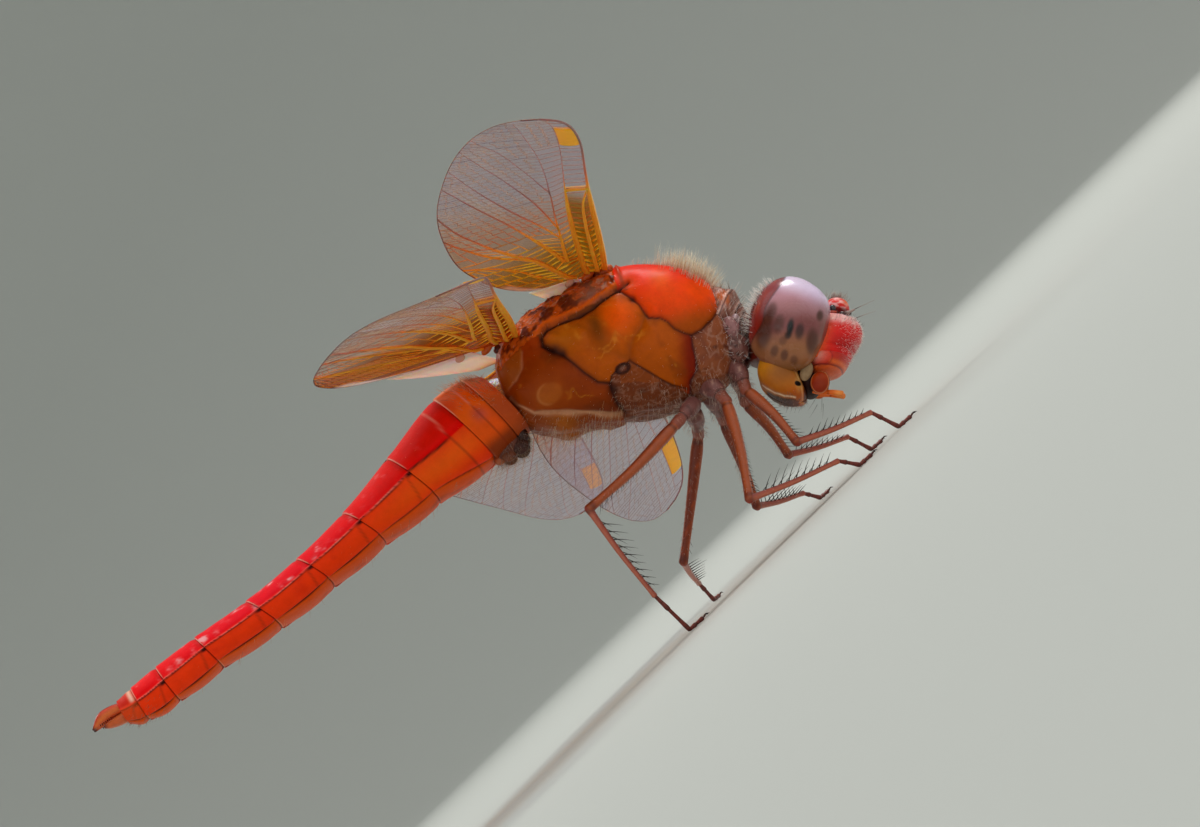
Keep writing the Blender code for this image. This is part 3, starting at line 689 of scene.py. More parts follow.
    # the ridge down the front plates, and the one across in front of the forewings
    keel = bell(across, 0.12) * ramp(u, 1.4, 2.2) * ramp(6.9 - u, 0, 1.2) * (up > 2.0)
    ridge = bell(u - 1.75, 0.16) * (up > 3.0)
    lift += 0.16 * keel
    lift += 0.2 * ridge * ramp(3.2 - np.abs(across), 0, 1.0)
    paint.lay(((120, 44, 20), keel * 0.6), ((140, 60, 24), ridge * 0.7))
    back = ramp(up, 3.6, 4.4) * ramp(2.4 - np.abs(across), 0.0, 1.4)
    for place, reach, rise in thorax["shields"]:
        lift += back * (u < 1.4) * rise * bell(u - place, reach) * (0.6 + 0.4 * bell(np.abs(across) - 0.55, 0.5))
    for place in thorax["gaps"]:
        lift -= back * 0.12 * bell(u - place, 0.14)
        paint.lay(((56, 22, 18), back * 0.5 * bell(u - place, 0.09)))
    points += normal * (lift * shrink)[:, None]
    return points, {"tint": paint.colour, "hairy": np.clip(lower * 1.0 + collar * 0.9 + notum * 0.4, 0, 1)}


thoraxFinish = cuticle(
    "thorax_shell", roughness=0.36, coat=0.06, mottle=0.35, mottleSize=0.8, pits=0.5, pitSize=0.11, wrinkle=0.4,
    glow=0.1, shine=0.07,
)
thoraxMesh = surfaceMesh("thorax_skin", thorax["columns"], thorax["rows"], thoraxShape)
thoraxSkin = putPiece("thorax_skin", thoraxMesh, thoraxFrame, thoraxFinish, ["thorax"])
print("thorax:", len(thoraxMesh.polygons), "faces")


abdomen = {
    "stations": (  # along, height of the middle, height, width, and how far the joint's top lies behind its foot
        (-4.0, 5.15, 5.0, 5.0, 0.0), (-5.2, 5.5, 5.9, 6.0, 0.1), (-7.4, 5.72, 6.2, 6.4, 0.3),
        (-12.3, 5.64, 4.8, 5.8, 0.75), (-17.0, 5.61, 3.6, 5.4, 0.95), (-21.5, 5.75, 3.15, 5.0, 0.85),
        (-26.0, 6.13, 3.05, 4.6, 0.75), (-30.5, 6.86, 2.9, 4.1, 0.15), (-34.0, 7.27, 2.9, 3.5, -0.3),
        (-36.3, 7.58, 2.55, 2.7, -0.5), (-37.6, 8.0, 1.7, 2.0, -0.4),
    ),
    "roof": 1.75, "belly": 2.3, "rows": 42, "sides": 150,
    "back": (250, 2, 0), "flank": (255, 58, 0), "under": (236, 84, 6), "front": (255, 108, 6),
    "rim": (255, 186, 160), "line": (70, 12, 8), "crimsonAndSheen": (244, 96, 104),
    "keelAngle": 91.0, "footAngle": 146.0,
}
segmentCount = len(abdomen["stations"]) - 1


def abdomenShape(s, t):
    joints = np.array([row[0] for row in abdomen["stations"]])
    steps = s * segmentCount
    number = np.minimum(steps.astype(int), segmentCount - 1)  # 0 for the first segment
    q = steps - number
    # rings crowd towards the joints
    q = 0.5 - 0.5 * np.cos(math.pi * q) * (0.55 + 0.45 * np.abs(np.cos(math.pi * q)))
    fronts, rears = joints[number], joints[number + 1]
    x = fronts + (rears - fronts) * q
    middle, height, width, back = smoothTable(abdomen["stations"], x)
    _, shrink = endCaps(s, 0.012)
    angle = (t * 2 - 1) * math.pi  # 0 along the back, so the seam lies under the belly
    low, high = middle - height / 2, middle + height / 2
    across, up = ringPoint(low, high, width / 2, angle, abdomen["roof"], abdomen["belly"])
    degrees = np.degrees(np.abs(angle))
    normal = unit(np.stack([np.zeros_like(x), across / (width / 2) ** 2, (up - middle) / (height / 2) ** 2], 1))
    length = np.abs(rears - fronts)
    fromFront, toRear = q * length, (1 - q) * length  # in millimetres along the segment
    later = number >= 2

    keelAt = abdomen["keelAngle"] + np.where(number == 2, 9 * (1 - q) - 2, 0) + 1.5 * np.sin(q * math.pi)
    footAt = abdomen["footAngle"] + np.where(number == 2, 22 * (1 - q) ** 1.5, 0) + np.where(number >= 7, 6, 0)
    mmPerDegree = (height + width) / 4 * math.pi / 180
    keelGap = (degrees - keelAt) * mmPerDegree
    footGap = (degrees - footAt) * mmPerDegree
    above, below = keelGap < 0, footGap > 0
    between = ~above & ~below

    lift = 0.03 * ramp(q, 0.78, 1.0) - 0.05 * bell(toRear, 0.05)
    lift = lift - 0.07 * (1 - ramp(fromFront, 0.0, 0.45)) - 0.05 * bell(fromFront, 0.06)
    lift = np.where((number == 0) & (q < 0.3), 0, lift)
    bulge = np.sin(math.pi * np.clip(q * 1.04, 0, 1)) ** 0.8
    lift += np.where(later, below * (0.24 * bulge - 0.16), 0)
    lift += np.where(later, 0.07 * bell(keelGap, 0.12), 0)  # the keel along the flank
    lift -= np.where(later, 0.1 * bell(footGap, 0.1), 0)
    lift += np.where(later & above, 0.05 * bell(across, 0.16), 0)
    lift += np.where(later & between, 0.06 * bulge, 0)
    spacing = np.mod(fromFront / 0.23, 1.0)
    lift += np.where((number >= 3) & (number <= 8), 0.03 * bell(keelGap - 0.02, 0.06) * (spacing < 0.5), 0)
    second, third = number == 1, number == 2  # a rib runs round each of these two
    ribAt = np.where(third, 1.15, 0.95)
    ribGap = fromFront - ribAt - np.where(third, 0.18 * ramp(degrees, 40, 100), 0)
    rib = np.where((second | third) & (np.abs(fromFront - ribAt) < 0.5), bell(ribGap, 0.07), 0)
    lift += 0.025 * rib * ramp(150 - degrees, 0, 20)
    points = np.stack([x, across, up], 1)
    wave = ripple(points, 1.6, 11)
    lift += 0.012 * wave
    points += normal * lift[:, None]
    points[:, 1] *= shrink
    points[:, 2] = middle + (points[:, 2] - middle) * shrink
    points[:, 0] -= back * (points[:, 2] - middle) / height

    paint = Paint(len(x), abdomen["back"])
    paint.lay(
        (abdomen["flank"], ramp(keelGap, -0.05, 0.05)),
        ((236, 30, 6), ramp(-keelGap, 0.0, 0.9) * bell(x + 10, 8) * 0.6),
        ((236, 44, 4), between * ramp(wave, 0.1, 1.0) * 0.5),
        # the brighter orange on the flank of S3 is partly its own colour and partly painted light from below in
        # front
        ((255, 100, 6), between * bell(keelGap - 1.1, 1.1) * bell(x + 9.5, 6.0) * 0.85),
        (abdomen["under"], ramp(footGap, -0.02, 0.05) * later),
        ((150, 50, 16), ramp(footGap, 0.6, 1.8) * ramp(wave, -0.2, 0.8) * 0.6 * later),
    )
    # over S5 to S8 the back turns crimson, its own tone; the pink and pale patches on it, also along the ridge
    # above the keel, are painted sheen
    crimsonAndSheen = bell(x + 25.5, 8.5) * ramp(-keelGap, 0.05, 0.5)
    ridge = bell(x + 29.5, 5.0) * ramp(-keelGap, 0.0, 0.25) * bell(keelGap + 0.35, 0.4)
    cloudy = ripple(points, 1.1, 12)
    paint.lay(
        ((240, 10, 46), crimsonAndSheen * 0.5),
        (abdomen["crimsonAndSheen"], crimsonAndSheen * ramp(cloudy, 0.1, 0.9) * 0.75 * ramp(toRear, 0.1, 1.0)),
        ((255, 206, 210), crimsonAndSheen * ramp(cloudy, 0.45, 0.95) * 0.85),
        ((255, 150, 150), ridge * ramp(cloudy, 0.1, 0.7) * 0.5),
    )
    early = ~later
    paint.lay(
        (abdomen["front"], early),
        # the pale pink on top of S1 and S2 is a painted highlight
        ((255, 176, 140), early * bell(degrees, 46) * ramp(wave, -0.8, 0.4) * ramp(-x, 4.6, 5.6) * 0.9),
        ((232, 70, 30), early * bell(degrees - 62, 20) * ramp(-x, 6.0, 7.4) * 0.7),
        ((240, 84, 8), early * ramp(degrees, 84, 116) * 0.8),
        ((126, 50, 14), early * ramp(degrees, 126, 150) * 0.85),
        ((176, 66, 14), early * ramp(x, -5.7, -4.9) * ramp(degrees, 70, 110) * 0.7),
        ((200, 84, 74), (number == 1) * bell(degrees - 98, 9) * bell(fromFront - 0.95, 0.5) * 0.8),
        ((190, 84, 36), (number == 0) * ramp(degrees, 50, 100) * 0.5),
        # the whitish top of S1 is a painted highlight
        ((250, 216, 200), (number == 0) * bell(degrees, 50) * 0.5),
    )
    # pale rims on the back, dark ones lower down
    rimHere = bell(toRear - 0.025, 0.034) * (number < 10)
    upper = ramp(keelAt - degrees, 2, 20)
    paint.lay(
        (abdomen["rim"], rimHere * upper * 0.8),
        ((236, 140, 96), rimHere * (1 - upper) * ramp(number, 3.5, 5.5) * below * 0.8),
    )
    dark = bell(fromFront, 0.07) * (number > 0)
    keelWidth = np.where(third, 0.075 * ramp(q, 0.12, 0.4) + 1e-3, 0.045)
    keelLine = bell(keelGap - 0.03, keelWidth) * np.where(third, 0.95 * ramp(q, 0.1, 0.3), 0.85)
    corner = (number >= 3) * np.exp(-np.hypot((fromFront - 0.16) / 0.26, (keelGap - 0.1) / 0.13) ** 3)
    paint.lay(
        (abdomen["line"], dark * (0.25 + 0.5 * ramp(degrees, 50, 80))),
        ((188, 20, 8), bell(fromFront - 0.2, 0.16) * upper * 0.5), ((255, 160, 140), rib * upper * 0.7),
        ((130, 36, 10), rib * (1 - upper) * 0.5),
        (abdomen["line"], later * keelLine),
        ((250, 150, 130), (number > 2) * (number < 9) * bell(keelGap + 0.06, 0.035) * 0.6),
        ((54, 10, 8), (number >= 3) * (number <= 8) * bell(keelGap, 0.05) * (spacing < 0.3) * 0.9),
        (abdomen["line"], later * bell(footGap, 0.075) * (0.75 + 0.25 * ramp(number, 3, 4))),
        ((30, 14, 8), (number >= 4) * bell(footGap + 0.02, 0.05) * ramp(wave, -0.6, 0.3) * 0.8),
        ((28, 4, 6), corner),
        ((150, 34, 6), (number > 2) * between * bell(fromFront - 0.42 - 0.3 * keelGap, 0.1) * 0.4),
        ((214, 84, 30), (number >= 9) * 0.5),
        ((250, 206, 180), (number == 9) * bell(fromFront - 0.25, 0.16) * upper * 0.8),
        ((214, 40, 20), (number == 9) * ramp(fromFront, 0.4, 0.6) * upper),
    )
    hairy = np.clip(bell(x + 5.0, 1.2) * ramp(110 - degrees, 0, 30) + later * below * 0.03, 0, 1)
    return points, {"tint": paint.colour, "hairy": hairy}


abdomenFinish = cuticle(
    "abdomen_shell", roughness=0.46, coat=0.05, mottle=0.2, mottleSize=0.7, pits=0.35, pitSize=0.1, wrinkle=0.5,
    wrinkleSize=0.2, glow=0.1, shine=0.08,
)
abdomenMesh = surfaceMesh("abdomen_skin", abdomen["rows"] * segmentCount, abdomen["sides"], abdomenShape)
segments = [f"abdomen_{number:02d}" for number in range(1, segmentCount + 1)]
abdomenSkin = putPiece("abdomen_skin", abdomenMesh, trunkFrame, abdomenFinish, segments)
print("abdomen:", len(abdomenMesh.polygons), "faces")

claspers = {
    "upper": [(-37.3, 0.34, 8.25), (-38.0, 0.44, 8.55), (-38.8, 0.46, 8.68), (-39.8, 0.26, 8.52)],
    "lower": [(-37.3, 0.0, 7.6), (-38.1, 0.0, 7.82), (-38.7, 0.0, 8.02), (-39.1, 0.0, 8.2)],
    "upperRadii": ((0, 0.34), (0.3, 0.36), (0.62, 0.36), (0.85, 0.2), (1, 0.07)),
    "lowerRadii": ((0, 0.4), (0.4, 0.36), (0.8, 0.24), (1, 0.12)), "teeth": 7,
}


def paintClasper(along, angle):
    return Paint(len(along), (206, 52, 16)).lay(
        ((240, 128, 50), bell(np.cos(angle) + 0.4, 0.6) * 0.7),
        ((110, 18, 10), ramp(np.cos(angle), 0.6, 0.95) * 0.8), ((60, 12, 8), ramp(along, 0.86, 1.0)),
    ).colour


def paintPlate(along, angle):
    return Paint(len(along), (214, 96, 40)).lay(
        ((244, 150, 84), ramp(np.cos(angle), 0.0, 0.8) * 0.6), ((90, 24, 12), ramp(along, 0.8, 1.0) * 0.8),
    ).colour


clasperMeshes = []
count = claspers["teeth"]
for side in (1, -1):
    path = [(x, side * y, z) for x, y, z in claspers["upper"]]
    clasperMeshes.append(tubeMesh("clasper", path, claspers["upperRadii"], 24, paintClasper, 40))
    places = np.linspace(-38.35, -39.2, count)
    teeth = [(x, side * (0.44 + 0.005 * k), 8.27 + 0.02 * k) for k, x in enumerate(places)]
    ways, black = [(-0.3, side * 0.2, -1.0)] * count, [opaque((50, 10, 8))] * count
    shape = ([0.16] * count, [0.045] * count, [(0, 0, 0)] * count)  # lengths, widths and bends
    clasperMeshes.append(strandsMesh("clasper_teeth", teeth, ways, *shape, black, sides=6, joints=1))
clasperMeshes.append(
    tubeMesh("clasper", claspers["lower"], claspers["lowerRadii"], 24, paintPlate, 30, flatten=1.5)
)
clasperFinish = cuticle(
    "clasper_shell", roughness=0.38, coat=0.25, mottle=0.3, mottleSize=0.3, pits=0.6, pitSize=0.08, wrinkle=0.5,
    wrinkleSize=0.12,
)
replaced = ["cercus_left", "cercus_right", "epiproct"]
putPiece("claspers", clasperMeshes, trunkFrame, clasperFinish, replaced)

hamules = (  # on each side: place, radii, colour and tilt
    ((-5.5, 0.55, 2.15), (0.62, 0.3, 0.62), (66, 28, 18), -25),
    ((-6.5, 0.5, 2.2), (0.5, 0.26, 0.46), (120, 62, 34), 20),
    ((-4.85, 0.6, 2.65), (0.42, 0.4, 0.6), (52, 24, 18), 10),
)
hamuleMeshes = [blobMesh("hamule", (-5.95, 0, 2.75), (1.3, 0.95, 0.85), (104, 48, 28))]
for side in (1, -1):
    for (x, y, z), radii, tone, tilt in hamules:
        hamuleMeshes.append(blobMesh("hamule", (x, side * y, z), radii, tone, (0, tilt, 0)))
hamuleMeshes.append(blobMesh("hamule", (-7.0, 0, 2.55), (0.55, 0.4, 0.4), (176, 92, 52)))
hamuleFinish = cuticle(
    "hamule_shell", roughness=0.4, coat=0.2, mottle=0.5, mottleSize=0.4, wrinkle=0.7, wrinkleSize=0.15
)
hamulePiece = putPiece("hamule_cluster", hamuleMeshes, trunkFrame, hamuleFinish, ["hamules"])
print("tail end and hamules made")


eyes = {
    # the top colour, and the pale lavender laid over the upper front, are painted sky reflection on the eye
    "offset": 2.05, "radii": (2.62, 2.35, 3.35), "seam": 0.03, "top": (242, 226, 255), "upper": (200, 144, 160),
    "middle": (134, 70, 70), "low": (166, 106, 66), "foot": (140, 88, 46), "rear": (132, 18, 4),
    "spot": (2, 1, 8), "blot": (78, 34, 20),
    "spots": (  # along, up, half width, half height, darkness
        (0.27, -0.8, 0.24, 0.6, 1.0), (0.12, -1.35, 0.24, 0.26, 0.8), (0.9, -1.01, 0.3, 0.55, 0.75),
    ),
    "blots": (
        (-0.78, -2.3, 0.3, 0.36, 0.7), (-0.1, -2.55, 0.28, 0.34, 0.75), (0.55, -2.79, 0.28, 0.26, 0.6),
        (-0.54, -0.61, 0.38, 0.66, 0.8), (2.18, 0.3, 0.22, 0.4, 0.95), (1.73, -1.5, 0.4, 0.85, 0.9),
        (-1.5, -0.9, 0.62, 1.3, 0.95), (-1.1, 0.3, 0.42, 0.7, 0.75), (-0.2, -1.7, 0.3, 0.3, 0.5),
    ),
}


def eyeMesh(side):
    made = blobMesh("eye", (0, 0, 0), (1, 1, 1), eyes["middle"], segments=256, rings=150)
    ball = readPoints(made)
    ball = np.stack([ball[:, 1], ball[:, 0], ball[:, 2]], 1)
    points = ball * eyes["radii"] + (0, side * eyes["offset"], 0)
    brow = 0.36 * ramp(ball[:, 0], 0.0, 0.8) * bell(ball[:, 2] - 0.5, 0.4)
    points[:, 0] += brow - 0.25 * ramp(-ball[:, 0], 0.1, 0.8) * bell(ball[:, 2] + 0.5, 0.4)
    points[:, 1] = side * np.maximum(side * points[:, 1], eyes["seam"])
    x, z, height = points[:, 0], points[:, 2], ball[:, 2]
    paint = Paint(len(points), eyes["middle"])
    cloud = ripple(points, 2.4, 21)
    paint.lay(
        # the top and the lavender over the upper front are painted sky reflection
        (eyes["upper"], ramp(height, -0.1, 0.45)), (eyes["top"], ramp(height + 0.2 * ball[:, 0], 0.38, 0.8) * 0.9),
        ((232, 212, 248), ramp(ball[:, 0], 0.1, 0.8) * ramp(height, 0.0, 0.55) * 0.7),
        ((180, 118, 116), bell(height - 0.22, 0.2) * 0.5), (eyes["low"], ramp(-height, 0.2, 0.62)),
        (eyes["foot"], ramp(-height, 0.78, 1.0)), ((96, 60, 50), ramp(cloud, 0.2, 1.0) * 0.3),
        ((118, 64, 40), ramp(x, 1.9, 2.6) * ramp(-height, -0.4, 0.3) * 0.6),
    )
    outside = ramp(side * points[:, 1], 2.0, 2.8)
    for kind in ("spot", "blot"):
        for along, up, wide, tall, share in eyes[kind + "s"]:
            reach = np.hypot((x - along - 0.12 * (z - up)) / wide, (z - up) / tall)
            paint.lay((eyes[kind], share * np.exp(-(reach**5)) * outside))
    band = -ball[:, 0] - (0.1 + 0.46 * ramp(0.95 - height, 0, 0.9) + 0.42 * ramp(-height, 0.05, 0.8))
    paint.lay(
        (eyes["rear"], ramp(band, 0.0, 0.07) * 0.9),
        ((190, 84, 60), bell(band - 0.28, 0.1) * ramp(cloud, -0.2, 0.8) * 0.5),
        ((40, 8, 8), bell(band - 0.03, 0.03) * 0.6),
    )
    setPoints(made, points)
    repaint(made, paint)
    tidyMesh(made)
    return made


eyeFinish, tree, shader, place = startMaterial("eye_lens")
tint = layerOf(tree, "tint")
facets, veil = cells(tree, place, 0.075, 0.35), clouds(tree, place, 1.4, 3.0)
dimmer = times(tree, tint, (0.7, 0.62, 0.62))
colour = mixColour(tree, rangeOf(tree, veil, 0.42, 0.7, 0.0, 0.3), tint, dimmer)
colour = mixColour(tree, rangeOf(tree, facets, 0.25, 0.6, 0.0, 0.3), colour, dimmer)
feed(tree, shader, {
    "Base Color": colour, "Normal": bumps(tree, facets, 0.25, 0.008, invert=True),
    "Roughness": rangeOf(tree, veil, 0.3, 0.7, 0.22, 0.3), "Coat Weight": 0.28, "Coat Roughness": 0.12,
    "Specular IOR Level": 0.3, "Subsurface Weight": 0.05, "Subsurface Radius": (1.0, 0.6, 0.5),
    "Subsurface Scale": 0.4 * mm,
})
for side, sideName in ((1, "left"), (-1, "right")):
    putPiece("lens_" + sideName, eyeMesh(side), headFrame, eyeFinish, ["eye_" + sideName])
print("eyes made")

face = {  # for each part rings of height, rear, front and half width
    "capsule": (
        (1.22, 0.9, 3.7, 1.0), (1.07, -0.6, 4.25, 1.5), (0.6, -2.2, 4.7, 1.9), (0.0, -2.7, 4.9, 2.15),
        (-0.7, -2.8, 4.75, 2.4), (-1.4, -2.8, 4.4, 2.55), (-2.1, -2.75, 4.0, 2.45), (-2.35, -2.7, 3.6, 2.3),
    ),
    "lip": (
        (-1.75, 1.2, 4.12, 2.3), (-2.0, 1.25, 4.1, 2.36), (-2.35, 1.35, 3.93, 2.28), (-2.6, 1.4, 3.76, 2.1),
        (-2.85, 1.45, 3.5, 1.75), (-3.05, 1.5, 3.15, 1.3), (-3.2, 1.6, 2.8, 0.85),
    ),
    "jaw": (
        (-2.2, -1.9, 0.3, 2.55), (-3.1, -2.05, 0.75, 2.7), (-4.0, -1.75, 1.2, 2.4), (-4.65, -1.05, 1.3, 1.9),
        (-5.0, -0.3, 0.9, 1.1),
    ),
    "red": (232, 0, 0), "lit": (255, 198, 196), "orange": (250, 112, 6), "temple": (112, 26, 12),
}


def stackShape(stations, exponent, finishPoint, edge=0.05):  # a body of level rings
    low, high = min(row[0] for row in stations), max(row[0] for row in stations)

    def shape(s, t):
        _, shrink = endCaps(s, edge)
        z = low + (high - low) * np.clip((s - edge * 0.4) / (1 - edge * 0.8), 0, 1)
        rear, front, half = smoothTable(stations, z)
        angle = t * fullTurn  # 0 at the front
        middle, depth = (front + rear) / 2, (front - rear) / 2
        x = middle + depth * power(np.cos(angle), 2 / exponent) * shrink
        y = half * power(np.sin(angle), 2 / exponent) * shrink
        normal = unit(np.stack([(x - middle) / depth**2, y / half**2, np.zeros_like(x)], 1))
        return finishPoint(np.stack([x, y, z], 1), normal, shrink)

    return shape


def finishCapsule(points, normal, shrink):
    x, y, z = points.T
    side = np.abs(y)
    cloud = ripple(points, 1.6, 31)
    flecks = ramp(ripple(points, 0.45, 36), 0.1, 0.8) * ramp(z + 0.15 * (x - 3.0), -0.4, 0.6)
    cheek = bell(np.maximum(x - 2.0 - 0.2 * z, 0), 0.75) * ramp(-z, -1.1, 0.3) * ramp(x, 1.4, 2.0)
    paint = Paint(len(x), face["red"]).lay(
        (face["lit"], ramp(z - 0.05 * side, 0.0, 0.8) * 0.95),
        ((255, 214, 206), flecks * ramp(x, 2.2, 3.0) * 0.7),
        ((226, 84, 70), ramp(cloud, 0.0, 0.9) * ramp(z, -0.2, 0.9) * 0.5), (face["orange"], cheek * 0.9),
        ((150, 4, 2), bell(z + 1.05, 0.5) * ramp(x, 2.6, 3.6) * 0.5),
    )
    crease = -1.42 + 0.16 * ramp(side, 0.6, 1.8)  # between brow and upper lip plate
    ahead = ramp(x, 2.6, 3.6)
    lift = -0.09 * bell(z - crease, 0.1) * ramp(x, 2.0, 3.0) - 0.11 * bell(y, 0.16) * ramp(z, -0.7, 0.2) * ahead
    lift += 0.12 * bell(z - 0.35, 0.7) * bell(side - 0.85, 0.6) * ahead
    paint.lay(
        ((120, 12, 12), bell(z - crease, 0.05) * ramp(x, 3.0, 3.6) * 0.4),
        ((120, 40, 60), bell(z - 1.35, 0.25) * ramp(x, 2.2, 3.0) * ramp(3.75 - x, 0.0, 0.3) * 0.5),
    )
    rear = ramp(-x, -0.9, 0.2)
    paint.lay(
        (face["temple"], rear), ((196, 110, 92), rear * ramp(cloud, 0.3, 1.0) * 0.6),
        ((40, 14, 12), rear * ramp(-cloud, 0.4, 1.0) * 0.6),
    )
    points += normal * (lift * shrink)[:, None]
    return points, {"tint": paint.colour}


def finishLip(points, normal, shrink):
    x, y, z = points.T
    side = np.abs(y)
    cloud = ripple(points, 1.1, 33)
    paint = Paint(len(x), (200, 30, 12)).lay(((226, 84, 40), ramp(cloud, 0.0, 0.9) * 0.4))
    paint.lay(
        ((240, 112, 36), bell(z + 2.5, 0.17) * ramp(x, 2.6, 3.2) * 0.85),
        ((232, 98, 30), ramp(-z, 2.62, 2.74) * 0.9), ((236, 120, 70), ramp(-z, 2.95, 3.1) * 0.5),
    )
    lobe = np.hypot((x - 2.35) / 0.62, (z + 2.2) / 0.5)  # the rounded plate beside the mouth
    sideways = ramp(side, 1.3, 1.8)
    lift = (0.07 * ramp(1.2 - lobe, 0.0, 0.6) - 0.04 * bell(lobe - 1.15, 0.1)) * sideways
    lift = lift - 0.07 * bell(z + 2.68, 0.05) - 0.04 * bell(y, 0.12) * ramp(-z, 2.7, 2.8)
    paint.lay(
        ((226, 60, 34), ramp(1.15 - lobe, 0.0, 0.3) * sideways * 0.8),
        # the pale pink on the upper rear of the lobe is a painted highlight
        ((250, 178, 160), bell(np.hypot((x - 1.95) / 0.5, (z + 2.1) / 0.4), 1.0) * sideways * 0.9),
        ((120, 16, 12), bell(lobe - 1.18, 0.07) * sideways * 0.35), ((120, 16, 10), bell(z + 2.68, 0.045) * 0.8),
    )
    points += normal * (lift * shrink)[:, None]
    return points, {"tint": paint.colour}


def finishJaw(points, normal, shrink):
    x, y, z = points.T
    side = np.abs(y)
    cloud = ripple(points, 1.8, 41)
    paint = Paint(len(x), (196, 112, 26))
    paint.lay(
        ((230, 150, 24), ramp(-x, -0.2, 1.6) * ramp(z, -4.2, -3.1) * 0.75),
        ((150, 94, 50), bell(np.hypot(x + 0.3, (z + 3.4) * 1.3), 1.0) * 0.75),
        ((202, 88, 24), ramp(-z, 4.1, 4.7) * ramp(x, -0.6, 0.9) * 0.7),
        ((236, 190, 110), ramp(cloud, 0.35, 1.0) * 0.35),
    )
    rim = gapToLine(x, z, [(-1.7, -4.0), (-1.35, -4.3), (-0.75, -4.66), (-0.1, -4.86), (0.6, -4.9)])
    lift = -0.07 * bell(rim, 0.08) * ramp(side, 0.6, 1.0) + 0.12 * bell(side - 1.5, 0.8) - 0.14 * bell(y, 0.14)
    paint.lay(((255, 232, 200), bell(rim, 0.028) * ramp(side, 0.6, 1.0) * 0.95))
    brink = np.interp(x, [-2.6, -1.5, -0.8, -0.1, 0.6, 1.3], [3.5, 4.24, 4.66, 4.88, 4.92, 4.96])
    under = ramp(-z - brink, 0.02, 0.1)
    paint.lay(
        ((44, 2, 2), under * 0.98), ((120, 40, 14), under * ramp(x, 0.0, 0.8) * 0.7),
        ((206, 168, 120), ramp(cloud, 0.5, 1.0) * under * bell(x + 1.4, 0.4) * 0.8),
    )
    heights = [-5.3, -4.9, -4.2, -3.2, -2.2]
    front = ramp(x - np.interp(z, heights, [0.72, 1.08, 1.0, 0.55, 0.1]), 0.0, 0.1)
    frontRim = bell(x - np.interp(z, heights, [0.68, 1.02, 0.95, 0.48, 0.02]), 0.05)
    paint.lay(
        ((60, 20, 14), front * 0.9), ((250, 196, 130), frontRim * 0.5),
        ((14, 8, 8), ramp(0.21 - np.hypot(x - 0.72, z + 4.1), 0.0, 0.06) * ramp(side, 1.0, 1.4)),
    )
    points += normal * (lift * shrink)[:, None]
    return points, {"tint": paint.colour}


faceFinish = cuticle(
    "face_shell", roughness=0.4, coat=0.15, mottle=0.35, mottleSize=0.4, pits=1.6, pitSize=0.17, wrinkle=1.2,
    wrinkleSize=0.14, glow=0.08,
)
headMeshes = [surfaceMesh("head_skin", 130, 260, stackShape(face["capsule"], 2.3, finishCapsule), closed=False)]
for side in (1, -1):
    temple = blobMesh("temple", (-0.45, side * 1.9, -0.05), (2.3, 2.08, 3.12), face["temple"], (0, 0, 0), 64, 48)
    cloud = ripple(readPoints(temple), 1.0, 52)
    repaint(temple, Paint(len(cloud), face["temple"]).lay(
        ((206, 116, 96), ramp(cloud, 0.1, 0.8) * 0.7), ((30, 10, 10), ramp(-cloud, 0.2, 0.8) * 0.8),
    ))
    headMeshes.append(temple)
headMesh = joinMeshes("head_skin", headMeshes)
tidyMesh(headMesh)
headSkin = putPiece("head_skin", headMesh, headFrame, faceFinish, ["head"])
lipMesh = surfaceMesh("lip_skin", 50, 160, stackShape(face["lip"], 2.2, finishLip, edge=0.12))
putPiece("lip_skin", lipMesh, headFrame, faceFinish, ["labrum"])
jawFinish = cuticle(
    "jaw_shell", roughness=0.36, coat=0.06, mottle=0.25, mottleSize=0.5, wrinkle=0.3, wrinkleSize=0.2, glow=0.2,
    shine=0.14,
)
jawMesh = surfaceMesh("jaw_skin", 110, 220, stackShape(face["jaw"], 2.3, finishJaw, edge=0.08))
jawSkin = putPiece("jaw_skin", jawMesh, headFrame, jawFinish, ["labium"])


def mandibleMesh(side):
    made = blobMesh("jaw_tooth", (0, 0, 0), (0.66, 0.44, 0.78), (176, 72, 22), (0, 10, 0), 72, 48)
    made.transform(Matrix.Translation((2.29, -1.86, -3.96) if side < 0 else (2.0, 1.8, -3.4)))
    x, y, z = (readPoints(made) + ((0, 0, 0) if side < 0 else (0.29, 0, -0.56))).T
    rim = np.hypot((x - 2.29) / 0.6, (z + 3.96) / 0.76)
    paint = Paint(len(x), (146, 38, 4)).lay(
        ((176, 66, 14), bell(z + 3.6, 0.3) * 0.5), ((236, 150, 90), bell(rim - 1.0, 0.04) * 0.7),
        ((96, 26, 10), ramp(rim, 1.02, 1.08) * 0.8), ((150, 56, 20), bell(np.hypot(x - 2.5, z + 4.2), 0.3) * 0.5),
    )
    repaint(made, paint)
    return made


def paintRod(along, angle):
    return Paint(len(along), (246, 116, 40)).lay(
        ((250, 160, 80), bell(along - 0.9, 0.15) * 0.8), ((170, 60, 16), bell(along - 0.55, 0.03) * 0.7),
        ((250, 150, 60), ramp(np.cos(angle), 0.4, 1.0) * 0.5),
    ).colour


def paintFeeler(along, angle):
    return Paint(len(along), (70, 30, 26)).lay(((160, 136, 128), ramp(along, 0.1, 0.5))).colour


